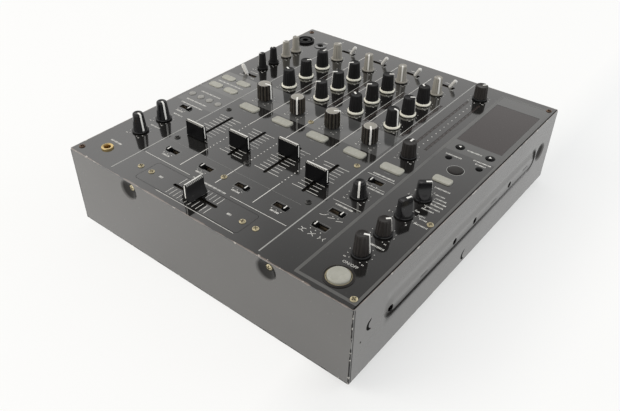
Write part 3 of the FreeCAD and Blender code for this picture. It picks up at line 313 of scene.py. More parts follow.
def age_group():
    """Clouded colour, scuffs where clouds are thick, dust specks, uneven roughness and a fine grain."""
    amounts = ("Cloud", "Cloud Scale", "Scuff", "Scuff Scale", "Speck", "Speck Scale", "Roughness", "Spread")
    inputs = {**dict.fromkeys(("Base", "Worn", "Dust"), "Color"), **dict.fromkeys(amounts, "Float")}
    outputs = {"Color": "Color", "Roughness": "Float", "Height": "Float"}
    group, given, out = new_group("aged_surface", inputs, outputs)
    place = add_node(group, "TexCoord").outputs["Object"]

    def spots(scale, detail, low, high, distortion=0.0):
        return ramp_in(group, noise_in(group, place, given[scale], detail, distortion), low, high)

    def times(a, b):
        return math_in(group, "MULTIPLY", a, b)

    cloud = times(spots("Cloud Scale", 5.0, 0.35, 0.7, 0.6), given["Cloud"])
    scuff = times(spots("Scuff Scale", 8.0, 0.56, 0.72, 1.4), spots("Cloud Scale", 2.0, 0.42, 0.6))
    speck = times(spots("Speck Scale", 1.0, 0.72, 0.80), given["Speck"])
    colour = mix_in(group, cloud, given["Base"], given["Worn"])
    colour = mix_in(group, times(scuff, given["Scuff"]), colour, given["Worn"])
    colour = mix_in(group, speck, colour, given["Dust"])
    rough = math_in(group, "MULTIPLY_ADD", spots("Scuff Scale", 4.0, 0.3, 0.7), given["Spread"],
                    given["Roughness"])
    grain = noise_in(group, place, GRAIN_SCALE, 3.0)
    for socket, value in (("Color", colour), ("Roughness", rough), ("Height", grain)):
        group.links.new(value, out[socket])
    return group


AGED = age_group()
print("ageing group:", len(AGED.nodes), "nodes")

# %% [markdown]
# A finish is a Principled shader with that group in front of it. What is even all over, such as how
# metallic the surface is, is set on the shader itself, and the group feeds only what varies: colour,
# roughness and grain.

# %% A finish
DUST = (0.5, 0.48, 0.44)
GRAIN_DEPTH = 0.0004


def finish(name, base, worn, wear, rough, dust=DUST, metallic=0.0, ior=1.5, bump=0.04,
           cloud_scale=18.0, scuff_scale=90.0, speck_scale=420.0):
    """A material: wear gives its clouds, scuffs and specks, rough its least roughness and its spread."""
    material = bpy.data.materials.new(name)
    material.use_nodes = True
    tree = material.node_tree
    shader = tree.nodes["Principled BSDF"].inputs
    shader["Metallic"].default_value = metallic
    shader["IOR"].default_value = ior
    inputs = {"Base": (*base, 1), "Worn": (*worn, 1), "Dust": (*dust, 1), "Cloud Scale": cloud_scale,
              "Scuff Scale": scuff_scale, "Speck Scale": speck_scale}
    inputs.update(zip(("Cloud", "Scuff", "Speck", "Roughness", "Spread"), (*wear, *rough)))
    aged = add_node(tree, "Group", inputs, node_tree=AGED).outputs
    raised = add_node(tree, "Bump", {"Strength": bump, "Distance": GRAIN_DEPTH, "Height": aged["Height"]})
    tree.links.new(raised.outputs["Normal"], shader["Normal"])
    tree.links.new(aged["Color"], shader["Base Color"])
    tree.links.new(aged["Roughness"], shader["Roughness"])
    return material


print("dust colour", DUST)

# %% [markdown]
# ## Paint, lacquer and ink
# Colours are those of the object in plain light. The panel is nearly black, and only looks grey because its
# hard gloss lacquer mirrors the bright room, so it has a dark base and a high index of refraction. The case
# is a satin charcoal paint, and the inks of the panel are white and several greys.

# %% Finishes of the case and the panel
case_paint = finish("charcoal_case_paint", (0.088, 0.084, 0.080), (0.105, 0.100, 0.094), (0.5, 0.12, 0.06),
                    (0.22, 0.05), ior=1.8, bump=0.015, cloud_scale=7.0, scuff_scale=30.0)
panel_lacquer = finish("black_panel_lacquer", (0.011, 0.0105, 0.010), (0.021, 0.020, 0.019),
                       (0.3, 0.2, 0.12), (0.06, 0.05), ior=2.2, bump=0.01, cloud_scale=14.0,
                       scuff_scale=60.0, speck_scale=900.0)
smoked = finish("smoked_window", (0.040, 0.032, 0.031), (0.053, 0.043, 0.042), (0.4, 0.1, 0.1), (0.09, 0.05),
                ior=1.62, bump=0.01, speck_scale=900.0)
INK_DIRT, LINE_DIRT = (0.1, 0.1, 0.1), (0.05, 0.05, 0.05)
print_white = finish("white_panel_ink", (0.76, 0.75, 0.71), (0.52, 0.51, 0.49), (0.4, 0.5, 0.2), (0.4, 0.1),
                     INK_DIRT, cloud_scale=60.0, scuff_scale=300.0)
line_grey = finish("pale_grey_panel_ink", (0.40, 0.40, 0.385), (0.29, 0.29, 0.28), (0.5, 0.4, 0.2),
                   (0.3, 0.1), INK_DIRT, cloud_scale=40.0)
print_grey = finish("grey_panel_ink", (0.20, 0.20, 0.195), (0.13, 0.13, 0.127), (0.5, 0.4, 0.2), (0.12, 0.08),
                    LINE_DIRT, ior=1.6, cloud_scale=40.0)
frame_grey = finish("grey_frame_ink", (0.125, 0.124, 0.12), (0.09, 0.09, 0.088), (0.5, 0.4, 0.2),
                    (0.12, 0.08), LINE_DIRT, ior=1.6, cloud_scale=40.0)
# The next two are painted shade, not colours of the object: a black sheet for the dark inside behind the
# holes of the case, and a dull dark skin for the shade on the lower slope of the beads.
shade_sheet_black = finish("painted_shade_black_sheet", (0.006, 0.006, 0.006), (0.01, 0.01, 0.01), (0.3, 0.2, 0.1),
                      (0.7, 0.1), ior=1.1)
bead_underside_shade = finish("painted_bead_underside_shade", (0.020, 0.019, 0.018), (0.03, 0.028, 0.026), (0.4, 0.3, 0.1), (0.8, 0.1),
                   ior=1.06, cloud_scale=30.0)
print("finishes:", len(bpy.data.materials))

# %% [markdown]
# ## Plastic and rubber
# Grips are matt or glossy black plastic, and a few are warm grey. The long caps are milky, because a lamp
# lights them from below. Black plastic needs a low index of refraction, or the bright room washes it out.

# %% Finishes of plastic
grip_black = finish("black_grip_plastic", (0.008, 0.008, 0.0085), (0.022, 0.021, 0.021), (0.3, 0.4, 0.1),
                    (0.4, 0.2), ior=1.33, bump=0.12)
grip_gloss = finish("glossy_grip_plastic", (0.007, 0.007, 0.008), (0.02, 0.02, 0.02), (0.3, 0.3, 0.1),
                    (0.16, 0.12), ior=1.45, bump=0.05)
grip_charcoal = finish("charcoal_grip_plastic", (0.018, 0.016, 0.015), (0.048, 0.042, 0.038),
                       (0.5, 0.5, 0.15), (0.32, 0.2), ior=1.4, bump=0.1)
grip_grey = finish("warm_grey_grip_plastic", (0.30, 0.285, 0.25), (0.40, 0.38, 0.34), (0.5, 0.3, 0.15),
                   (0.36, 0.15), (0.12, 0.11, 0.10), bump=0.1)
ring_cream = finish("cream_ring_plastic", (0.98, 0.96, 0.84), (0.90, 0.87, 0.72), (0.3, 0.25, 0.1),
                    (0.35, 0.1), (0.4, 0.37, 0.3))
pointer_white = finish("white_pointer_paint", (0.93, 0.92, 0.88), (0.74, 0.73, 0.69), (0.25, 0.35, 0.2),
                       (0.45, 0.1), (0.3, 0.3, 0.28))
colour_grip = finish("smoked_grip_plastic", (0.024, 0.020, 0.015), (0.075, 0.062, 0.046), (0.6, 0.5, 0.1),
                     (0.14, 0.12))
# Painted shade: a near-black finish for the deep grooves between the ribs of the colour knobs.
colour_groove_shade = finish("painted_grip_groove_shade", (0.006, 0.005, 0.004), (0.015, 0.012, 0.009), (0.4, 0.3, 0.1),
                       (0.2, 0.1), ior=1.4)
cap_black = finish("black_cap_plastic", (0.003, 0.003, 0.0035), (0.007, 0.007, 0.007), (0.2, 0.2, 0.05),
                   (0.25, 0.12), ior=1.22, bump=0.03)
button_clear = finish("milky_button_plastic", (0.43, 0.425, 0.375), (0.35, 0.345, 0.295), (0.6, 0.2, 0.15),
                      (0.2, 0.12), (0.25, 0.24, 0.2), ior=1.45, cloud_scale=140.0)
button_grey = finish("grey_key_plastic", (0.33, 0.325, 0.305), (0.26, 0.255, 0.24), (0.5, 0.3, 0.15),
                     (0.3, 0.12), (0.1, 0.1, 0.1), cloud_scale=120.0)
lever_white = finish("white_lever_sleeve", (0.74, 0.73, 0.70), (0.55, 0.54, 0.51), (0.3, 0.3, 0.12),
                     (0.3, 0.12), (0.3, 0.3, 0.28))
socket_black_and_recess_shade = finish("black_socket_plastic_and_recess_shade", (0.012, 0.012, 0.013), (0.04, 0.04, 0.04), (0.3, 0.3, 0.2),
                      (0.3, 0.15))
connector_red = finish("red_socket_insert", (0.42, 0.03, 0.025), (0.5, 0.08, 0.06), (0.3, 0.3, 0.2),
                       (0.35, 0.1))
lamp_brown = finish("unlit_lamp_plastic", (0.026, 0.020, 0.015), (0.04, 0.03, 0.022), (0.5, 0.1, 0.1),
                    (0.3, 0.1), cloud_scale=300.0)
rubber = finish("black_foot_rubber", (0.018, 0.018, 0.018), (0.05, 0.048, 0.045), (0.5, 0.5, 0.4),
                (0.7, 0.15), bump=0.2)
print("finishes:", len(bpy.data.materials))

# %% [markdown]
# ## Metal and boards
# Screws are plated gold, black or brown, levers are plated steel, and the sockets have gold rings. The
# colour knobs have a silver top. Inside are dull switch cases and green boards, which show through the
# slots.

# %% Finishes of metal
PLATING = dict(cloud_scale=260.0)
colour_top = finish("silver_grip_top", (0.72, 0.71, 0.68), (0.50, 0.49, 0.46), (0.4, 0.5, 0.2), (0.24, 0.15),
                    (0.2, 0.2, 0.19), metallic=0.7, cloud_scale=160.0)
plated_gold = finish("yellow_plated_steel", (0.74, 0.65, 0.43), (0.36, 0.31, 0.20), (0.7, 0.5, 0.3),
                     (0.26, 0.2), (0.12, 0.1, 0.07), metallic=0.55, **PLATING)
plated_black = finish("black_plated_steel", (0.10, 0.098, 0.094), (0.05, 0.049, 0.046), (0.6, 0.4, 0.2),
                      (0.3, 0.15), (0.03, 0.03, 0.03), metallic=0.7, **PLATING)
plated_brown = finish("browned_plated_steel", (0.20, 0.13, 0.09), (0.09, 0.065, 0.05), (0.6, 0.4, 0.2),
                      (0.3, 0.15), (0.05, 0.04, 0.03), metallic=0.7, **PLATING)
socket_gold = finish("gold_socket_ring", (0.80, 0.60, 0.27), (0.5, 0.36, 0.15), (0.3, 0.3, 0.15), (0.2, 0.12),
                     (0.3, 0.22, 0.1), metallic=0.95)
lever_steel = finish("plated_lever_steel", (0.66, 0.65, 0.63), (0.42, 0.41, 0.39), (0.3, 0.4, 0.15),
                     (0.22, 0.12), (0.2, 0.2, 0.19), metallic=1.0)
dusty_cases = finish("plated_switch_cases", (0.10, 0.08, 0.055), (0.16, 0.13, 0.095), (0.7, 0.4, 0.4),
                     (0.5, 0.2))
board_green = finish("green_board_lacquer", (0.018, 0.075, 0.030), (0.05, 0.12, 0.06), (0.6, 0.3, 0.4),
                     (0.35, 0.15))
print("finishes:", len(bpy.data.materials))

# %% [markdown]
# ## Masks from boxes
# Grey bands are printed under the lacquer behind some of the controls, and handling has rubbed the edges of
# the case down to brown primer and bare metal. Painted shade darkens the dishes, the holes and the slope
# below the beads, and painted light makes a paler band above the beads. All of these are masks on Object
# coordinates, worked out from how far a point lies inside the faces of a box.


# %% Box groups
def box_group(name, outputs):
    """A group that takes the middle and half size of a box and finds distances to its faces, in metres."""
    group, given, out = new_group(name, {"Middle": "Vector", "Half": "Vector"},
                                  dict.fromkeys(outputs, "Float"))
    place = add_node(group, "TexCoord").outputs["Object"]

    def vector(operation, *values):
        return add_node(group, "VectorMath", enumerate(values), operation=operation).outputs["Vector"]

    away = vector("ABSOLUTE", vector("SUBTRACT", place, given["Middle"]))
    inside = add_node(group, "SeparateXYZ", {0: vector("SUBTRACT", given["Half"], away)}).outputs
    return group, out, place, inside


def band_group():
    """Mask: 1 where the distances to all faces of the box are above zero."""
    group, out, _, (x, y, z) = box_group("printed_band", ["Mask"])
    nearest = math_in(group, "MINIMUM", math_in(group, "MINIMUM", x, y), z)
    group.links.new(math_in(group, "GREATER_THAN", nearest, 0.0), out["Mask"])
    return group


BAND = band_group()
print("band group:", len(BAND.nodes), "nodes")

# %% [markdown]
# A rubbed edge is where a point lies close to two faces of the box at once, and noise makes it ragged.
# Painted shade lies behind the faces, in dishes and holes, and the painted light and painted shade at a bead
# fade out smoothly towards its box.


# %% Edge, painted recess shade and bead shade
def edge_group():
    """Edge: 1 within a ragged width of an edge, where the middle one of the three distances is small.
    Chip: a few larger spots on the edge."""
    group, out, place, (x, y, z) = box_group("rubbed_edge", ["Edge", "Chip"])
    middle = math_in(group, "MAXIMUM", math_in(group, "MINIMUM", x, y),
                     math_in(group, "MINIMUM", math_in(group, "MAXIMUM", x, y), z))
    spots = (("Edge", 95.0, 0.30, 0.62, 0.0011), ("Chip", 210.0, 0.59, 0.72, 0.0017))
    for socket, scale, low, high, width in spots:
        ragged = ramp_in(group, noise_in(group, place, scale, 4.0), low, high, 0.0, width)
        group.links.new(math_in(group, "LESS_THAN", middle, ragged), out[socket])
    return group


def sunk_group():
    """Mask: rises from 0 to 0.8 between 0.4 and 1.6 mm behind the side faces of the box, below its top."""
    group, out, _, (x, y, z) = box_group("painted_recess_shade", ["Mask"])
    deep = ramp_in(group, math_in(group, "MINIMUM", x, y), 0.0004, 0.0016, 0.0, 0.8)
    below = math_in(group, "GREATER_THAN", z, 0.0018)
    group.links.new(math_in(group, "MULTIPLY", deep, below), out["Mask"])
    return group


def shade_group():
    """Mask: rises smoothly from the faces along Y and Z to 1 over 9 mm, half as strong at the rear end."""
    group, out, place, (_, y, z) = box_group("bead_shade", ["Mask"])
    soft = ramp_in(group, math_in(group, "MINIMUM", y, z), 0.0, 0.009, interpolation_type="SMOOTHSTEP")
    rearwards = add_node(group, "SeparateXYZ", {0: place}).outputs["Y"]
    fade = ramp_in(group, rearwards, -0.08, 0.06, 1.0, 0.5)
    group.links.new(math_in(group, "MULTIPLY", soft, fade), out["Mask"])
    return group


EDGE, SUNK, SHADE = edge_group(), sunk_group(), shade_group()
print("mask groups:", [group.name for group in (BAND, EDGE, SUNK, SHADE)])

# %% [markdown]
# ## Bands, rubbed edges and painted shade
# Now the masks go into the two big finishes. The bands change the base colour that the ageing group starts
# from, so they age like the rest. Rubbed edges, chips, painted shade and painted light lie over it. On the
# case the same masks make the surface metallic, so that a dark colour stays dark and doesn't mirror the white
# room.


# %% Masks in the lacquer and the paint
def box_node(tree, group, low, high):
    """The outputs of a mask group in a material, with its box given by two corners in millimetres."""
    low, high = np.array(low, float) * MM, np.array(high, float) * MM
    return add_node(tree, "Group", {"Middle": (low + high) / 2, "Half": (high - low) / 2},
                    node_tree=group).outputs


def cover(tree, mask, colour):
    """Lays a colour over a finish where a mask is 1."""
    base = tree.nodes["Principled BSDF"].inputs["Base Color"]
    tree.links.new(mix_in(tree, mask, base.links[0].from_socket, colour), base)


def rub_edges(tree, low, high, edge, chip):
    """Lays the rubbed edge and the chips of a box over a finish, and hands back a mask of both."""
    masks = box_node(tree, EDGE, low, high)
    cover(tree, masks["Edge"], edge)
    cover(tree, masks["Chip"], chip)
    return math_in(tree, "MAXIMUM", masks["Edge"], masks["Chip"])


SKIN = 0.2
PANEL_DEPTH = 60.0
BANDS = [((LEFT + 3.0, -56.3), (-106.0, -22.0), (0.065, 0.064, 0.062)),
         ((LEFT + 3.0, -22.0), (-106.0, 20.7), (0.105, 0.104, 0.10)),
         ((-105.0, -16.3), (66.0, 23.7), (0.10, 0.10, 0.098)),
         ((105.0, 36.5), (157.0, 163.0), (0.06, 0.06, 0.058))]
tree = panel_lacquer.node_tree
base = next(node for node in tree.nodes if node.type == "GROUP").inputs["Base"]
shade = tuple(base.default_value)[:3]
for low, high, grey in BANDS:
    shade = mix_in(tree, box_node(tree, BAND, (*low, TOP - SKIN), (*high, TOP + SKIN))["Mask"], shade, grey)
tree.links.new(shade, base)
rub_edges(tree, (LEFT, FRONT, TOP - PANEL_DEPTH), (RIGHT, REAR, TOP), (0.16, 0.125, 0.105),
          (0.42, 0.38, 0.34))
print("bands", len(BANDS))

# %% [markdown]
# The bead that is pressed into each side wall is 1.5 mm high. Above it the paint is made a little paler, as
# painted light, and below it darker, as painted shade on the lower slope. Both are soft boxes along the bead.

# %% Case paint
BEAD_Z, BEAD_RISE, BEAD_CREST, BEAD_FOOT = 51.0, 1.5, 4.6, 12.6
BEAD_ENDS = (FRONT + 42.0 + BEAD_FOOT, FRONT + 316.0 - BEAD_FOOT)
FAR = 200.0
tree = case_paint.node_tree
case_box = (LEFT, FRONT, box_mm("chassis_tray")[0][2]), (RIGHT, REAR, TOP)
wear_and_shade = rub_edges(tree, *case_box, (0.012, 0.011, 0.010), (0.42, 0.40, 0.37))


def along_bead(group, out, past, below, above):
    """A mask over both beads, whose box goes so far out, past the ends, and from below to above the crest."""
    return box_node(tree, group, (-out, BEAD_ENDS[0] - past, BEAD_Z + below),
                    (out, BEAD_ENDS[1] + past, BEAD_Z + above))["Mask"]


# Above each bead the paint is made paler, as painted light on its upper slope.
cover(tree, along_bead(SHADE, FAR, 12, 1, 20), (0.14, 0.136, 0.13))
# Painted shade: the dishes, the holes and slits in the wall and in the bead, and the lower slope of each bead
# are darkened, and made metallic so that they stay dark.
for mask in (box_node(tree, SUNK, *case_box)["Mask"], along_bead(SUNK, RIGHT + BEAD_RISE, 6, -5.2, 5.2),
             along_bead(SHADE, FAR, 12, -18, 3)):
    cover(tree, mask, (0.010, 0.0095, 0.009))
    wear_and_shade = math_in(tree, "MAXIMUM", wear_and_shade, mask)
tree.links.new(wear_and_shade, tree.nodes["Principled BSDF"].inputs["Metallic"])
print("bead from", BEAD_ENDS[0], "to", BEAD_ENDS[1])

# %% [markdown]
# Seven CAD nodes stay visible: the case, the rear plate, both panel plates, the windows and the inside.
# They keep their meshes, and only their materials are exchanged for the finishes above.

# %% Finishes of the kept CAD nodes
KEPT = {"chassis_tray": case_paint, "rear_panel": case_paint, "top_panel": panel_lacquer,
        "crossfader_plate": panel_lacquer, "display_windows": smoked, "circuit_boards": board_green,
        "control_bodies": dusty_cases}
for node, material in KEPT.items():
    nodes[node].data.materials.clear()
    nodes[node].data.materials.append(material)
print("kept nodes", len(KEPT))

# %% [markdown]
# ## Camera and light
# The camera was solved from the corners of the case in the photograph: its place, its turn and its focal
# length. A white room lights the mixer evenly, and large soft lamps give the sides their different tones.


# %% Camera
def placed(name, data, axes, place):
    """An object in the scene whose three axes point along the given ways, at a place."""
    made = bpy.data.objects.new(name, data)
    bpy.context.scene.collection.objects.link(made)
    made.matrix_world = Matrix(np.vstack([np.column_stack([*axes, place]), [0, 0, 0, 1]]).tolist())
    return made


AZIMUTH, ELEVATION, ROLL = (math.radians(value) for value in (38.183, 37.755, 0.765))
FOCAL_PIXELS, IMAGE_WIDTH = 653.96, 620
CAMERA_PLACE = (0.32583, -0.44484, 0.41565)
back = np.array([math.sin(AZIMUTH) * math.cos(ELEVATION), -math.cos(AZIMUTH) * math.cos(ELEVATION),
                 math.sin(ELEVATION)])
level = np.cross((0, 0, 1), back)
level /= np.linalg.norm(level)
upright = np.cross(back, level)
across = level * math.cos(ROLL) + upright * math.sin(ROLL)
above = upright * math.cos(ROLL) - level * math.sin(ROLL)
lens = bpy.data.cameras.new("camera")
lens.sensor_width = 36.0
lens.lens = FOCAL_PIXELS / IMAGE_WIDTH * lens.sensor_width
lens.clip_start = 0.01
scene = bpy.context.scene
scene.camera = placed("camera", lens, (across, above, back), CAMERA_PLACE)
print("lens", round(lens.lens, 2))

# %% [markdown]
# The gloss on the panel comes from what it mirrors. The walls of the room are white and its ceiling is
# dark, and the left side is brighter, so the world's colour for mirrored rays falls with height and rises
# to the left. The world that lights the object stays even.

# %% Room
ROOM_LIGHT = 0.66
CEILING_FALL, WALL_LEVEL, DARKEST = 2.2, 1.83, 0.25
LEFT_GLOW, LEFT_START = 1.3, 0.065
scene.view_settings.view_transform = "Standard"


def ray_masks(tree):
    """Two masks: rays from the camera, and rays from a mirroring or clear surface."""
    path = add_node(tree, "LightPath").outputs
    return path["Is Camera Ray"], math_in(tree, "MAXIMUM", path["Is Glossy Ray"], path["Is Transmission Ray"])


def along_way(tree, way):
    """How far a point of the floor, or a direction of the world, goes along a way: their dot product."""
    place = add_node(tree, "TexCoord").outputs["Object"]
    return add_node(tree, "VectorMath", {0: place, 1: way}, operation="DOT_PRODUCT").outputs["Value"]


def choose(tree, share, first, second, output):
    """Sends two shaders to the output, with a share of the second one."""
    mix = add_node(tree, "MixShader", enumerate((share, first, second)))
    tree.links.new(mix.outputs[0], tree.nodes[output].inputs["Surface"])


room = bpy.data.worlds.new("white_room")
scene.world = room
room.use_nodes = True
tree = room.node_tree
glow = math_in(tree, "ADD", along_way(tree, (-LEFT_GLOW, -LEFT_GLOW, 0)), LEFT_START)
height = math_in(tree, "ADD", along_way(tree, (0, 0, -CEILING_FALL)), WALL_LEVEL)
bright = math_in(tree, "ADD", height, math_in(tree, "MAXIMUM", glow, 0.0))
tone = mix_in(tree, math_in(tree, "MAXIMUM", bright, DARKEST), (0, 0, 0), (1.0, 0.99, 0.975))
even = tree.nodes["Background"]
even.inputs["Color"].default_value = (1.0, 0.995, 0.985, 1)
even.inputs["Strength"].default_value = ROOM_LIGHT
mirrored_room = add_node(tree, "Background", {"Color": tone})
choose(tree, math_in(tree, "MAXIMUM", *ray_masks(tree)), even.outputs[0], mirrored_room.outputs[0],
       "World Output")
print("room light", ROOM_LIGHT)

# %% [markdown]
# A warm lamp from the front left lights the front wall, and a cool one from the right rear lights the right
# wall. They are large, so their shadows are soft, and they are hidden from mirroring surfaces, which see
# only the room.


# %% Lamps
def lamp(name, place, aim, size, watts, colour):
    """A square area lamp at a place, turned to its aim."""
    light = bpy.data.lights.new(name, "AREA")
    light.size, light.energy, light.color = size, watts, colour
    away = np.subtract(place, aim)
    away /= np.linalg.norm(away)
    side = np.cross((0, 1, 0), away)
    side /= np.linalg.norm(side)
    placed(name, light, (side, np.cross(away, side), away), place).visible_glossy = False


lamp("key", (-1.3, -1.3, 0.95), (-0.1, 0, 0.05), 1.2, 20.0, (1.0, 0.955, 0.88))
lamp("right_fill", (1.4, 1.0, 0.8), (0.1, 0.1, 0.05), 1.2, 12.0, (0.92, 0.965, 1.0))

# %% [markdown]
# The floor is white paper. To the camera it glows, least close to the right wall, so that the mixer keeps a
# soft shadow there, and not at all under the case. In mirroring surfaces it glows too, and more so towards
# the left.

# %% Floor
FLOOR = 6.0
SHEEN, PALE, SHADE_PALE = 0.62, 0.84, 0.50
LEFT_SHEEN, SHEEN_START = 5.0, 0.05
RIGHT_FADE, LEFT_FADE, CONTACT_FADE = 2.8, 7.0, 170.0
UNDER_SIDES, UNDER_FRONT = 0.02, 0.010
floor_mesh = bpy.data.meshes.new("floor")
floor_mesh.from_pydata([(-FLOOR, -FLOOR, 0), (FLOOR, -FLOOR, 0), (FLOOR, FLOOR, 0), (-FLOOR, FLOOR, 0)], [],
                       [(0, 1, 2, 3)])
floor = bpy.data.objects.new("floor", floor_mesh)
scene.collection.objects.link(floor)
paper = bpy.data.materials.new("white_paper")
paper.use_nodes = True
tree = paper.node_tree
plain = tree.nodes["Principled BSDF"]
plain.inputs["Base Color"].default_value = (0.90, 0.918, 0.93, 1)
plain.inputs["Roughness"].default_value = 0.9
white = add_node(tree, "Emission", {"Color": (1.0, 0.995, 0.98, 1), "Strength": 1.0})
seen, mirrored = ray_masks(tree)
from_wall = math_in(tree, "SUBTRACT", along_way(tree, (1, 0, 0)), RIGHT * MM)
pale = math_in(tree, "MAXIMUM", math_in(tree, "MULTIPLY", from_wall, RIGHT_FADE),
               math_in(tree, "MULTIPLY", from_wall, -LEFT_FADE))
beside = math_in(tree, "SUBTRACT", math_in(tree, "ABSOLUTE", along_way(tree, (1, 0, 0))),
                 RIGHT * MM - UNDER_SIDES)
before = math_in(tree, "SUBTRACT", FRONT * MM + UNDER_FRONT, along_way(tree, (0, 1, 0)))
behind = math_in(tree, "SUBTRACT", along_way(tree, (0, 1, 0)), REAR * MM)
outside = math_in(tree, "MAXIMUM", beside, math_in(tree, "MAXIMUM", before, behind))
contact = math_in(tree, "MAXIMUM", math_in(tree, "MULTIPLY", outside, CONTACT_FADE), 0.0)
pale = math_in(tree, "MINIMUM", math_in(tree, "ADD", pale, SHADE_PALE), contact)
pale = math_in(tree, "MULTIPLY", math_in(tree, "MINIMUM", pale, PALE), seen)
left_side = math_in(tree, "SUBTRACT", along_way(tree, (-LEFT_SHEEN, 0, 0)), LEFT_SHEEN * SHEEN_START)
sheen = math_in(tree, "ADD", math_in(tree, "MAXIMUM", left_side, 0.0), SHEEN)
glowing = math_in(tree, "MAXIMUM", pale, math_in(tree, "MULTIPLY", mirrored, sheen))
choose(tree, glowing, plain.outputs[0], white.outputs[0], "Material Output")
floor_mesh.materials.append(paper)
print("floor", 2 * FLOOR, "m wide")

# %% [markdown]
# ## Knobs
# A knob is a fluted grip with a skirt. Several grips share one shape in other sizes, so a table holds the
# radius and height of the skirt, the radius of the grip at its foot and top, its height, the rounding of
# its edge, and the number, depth and sharpness of its flutes.

# %% Kinds of grips
Grip = namedtuple("Grip", "skirt ring grip top height edge flutes depth sharp")
KINDS = {"tone": Grip(8.2, 2.3, 7.0, 5.8, 19.8, 0.7, 16, 0.4, 1.2),
         "level": Grip(8.0, 1.7, 6.7, 5.4, 19.8, 0.7, 14, 0.5, 0.8),
         "phones": Grip(8.0, 1.7, 6.5, 5.0, 19.8, 1.6, 0, 0.0, 1.0),
         "trim": Grip(6.9, 1.8, 5.5, 4.5, 19.2, 0.7, 14, 0.45, 0.9),
         "mic_black": Grip(6.1, 2.0, 4.5, 3.6, 18.2, 0.7, 14, 0.26, 1.5),
         "colour": Grip(8.0, 0.0, 8.0, 7.7, 18.3, 0.7, 14, 0.75, 0.6),
         "selector": Grip(8.0, 1.7, 6.9, 6.0, 17.0, 0.7, 0, 0.0, 1.0)}
KINDS["mic_grey"] = KINDS["mic_black"]
KINDS["broad"] = KINDS["level"]._replace(grip=7.0, top=6.4, height=15.5)
KINDS["short"] = KINDS["level"]._replace(grip=6.7, top=5.3, height=15.2)
KINDS["booth"] = KINDS["phones"]._replace(grip=6.7, top=5.3, height=15.2)
GRIP_FINISHES = {"tone": (grip_black, pointer_white, ring_cream),
                 "mic_black": (grip_black, pointer_white, grip_black),
                 "colour": (colour_grip, pointer_white, colour_top, colour_groove_shade, grip_grey)}
GRIP_FINISHES.update(dict.fromkeys(("level", "broad", "short"), (grip_charcoal, pointer_white, grip_gloss)))
GRIP_FINISHES.update(dict.fromkeys(("phones", "booth", "selector"), (grip_gloss, pointer_white, grip_gloss)))
GRIP_FINISHES.update(dict.fromkeys(("trim", "mic_grey"), (grip_grey, pointer_white, grip_grey)))
SPECIAL = {"headphone_level_knob": "phones", "headphone_mix_knob": "phones", "booth_level_knob": "booth",
           "balance_knob": "broad", "master_level_knob": "broad", "effect_time_knob": "short",
           "effect_depth_knob": "level"}


def kind_of(name):
    """The kind of grip that a control has."""
    if "selector" in name:
        return "selector"
    if name.startswith("mic"):
        return "mic_grey" if "level" in name else "mic_black"
    first = name.split("_")[0]
    return SPECIAL.get(name, first if first in ("trim", "colour") else "tone")


print("kinds", sorted({kind_of(name) for name in KNOBS}))

# %% [markdown]
# The grip is a turned profile whose flutes are a cosine in the angle, so ribs and rim come from the same
# formula. The selectors are pressed in to a bar between finger and thumb. The white pointer is a flat strip
# carried over the top and down the side.

# %% Shapes of a grip
BAR_HALF, SCOOP, SCOOP_DROP = 2.6, 13.0, 3.5
POINTER_HALF, POINTER_SUNK, POINTER_PROUD = 0.85, 0.35, 0.14


def grip_profile(k, base):
    """Radius, height and strength of the flutes: a leaning side, a quarter-circle shoulder and a flat top."""
    shoulder_r, shoulder_z = k.top - k.edge, k.height - k.edge
    lean = np.linspace(0, 1, 9)
    side = np.column_stack([k.grip + (k.top - k.grip) * lean, base + (shoulder_z - base) * lean, np.ones(9)])
    bend = np.linspace(0, np.pi / 2, 6)[1:]
    shoulder = np.column_stack([shoulder_r + k.edge * np.cos(bend), shoulder_z + k.edge * np.sin(bend),
                                np.linspace(1.0, 0.4, 5)])
    foot = [(k.grip - 0.6, base - 0.3, 0.0), (k.grip - 0.05, base, 0.6)]
    roof = [(shoulder_r - 0.7, k.height, 0.0), (shoulder_r - 1.0, k.height - 0.1, 0.0),
            (0.4, k.height - 0.1, 0.0)]
    return np.vstack([foot, side, shoulder, roof])


def scooped(grip, top):
    """Presses both sides in to a bar: |x| is held under half the bar's width plus a circular scoop."""
    rise = np.clip(top - SCOOP_DROP - grip[..., 2], 0, SCOOP)
    limit = BAR_HALF + SCOOP - np.sqrt(SCOOP ** 2 - rise ** 2)
    held = grip.copy()
    held[..., 0] = np.clip(grip[..., 0], -limit, limit)
    return held


def strip(path, out, half, sunk, proud):
    """A strip of constant width along a path in Y and Z, from under the surface to a little outside it."""
    inner, outer = path - sunk * out, path + proud * out
    corners = ((-half, inner), (-half, outer), (half, outer), (half, inner))
    return swept([(x, *line.T) for x, line in corners])


def pointer(k, base):
    """A strip from near the axis, over the shoulder and down the side of the grip."""
    top, low, bend = k.height, k.height - k.edge, 0.3 * k.edge
    path = np.array([(1.0, top), (k.top - k.edge, top), (k.top - bend, top - bend), (k.top, low),
                     ((k.top + k.grip) / 2, (low + base) / 2), (k.grip, base + 0.2)])
    out = np.array([(0, 1), (0, 1), (0.7, 0.7), (1, 0.1), (1, 0.05), (1, 0.05)])
    return skin(strip(path, out, POINTER_HALF, POINTER_SUNK, POINTER_PROUD), 1)


print("pointer", 2 * POINTER_HALF, "mm wide")

# %% [markdown]
# Now the grips are put together. The colour knobs have no skirt, painted shade in the grooves between their
# ribs, and a silver lid with a grey disc on top. The others stand on a ring, which is cream on the tone
# knobs.

# %% Knobs
KNOB_GAP, COLOUR_GAP = 0.6, 2.4
ROUND_SIDES, SIDES_PER_FLUTE, DEEP_GROOVE = 96, 8, -0.2


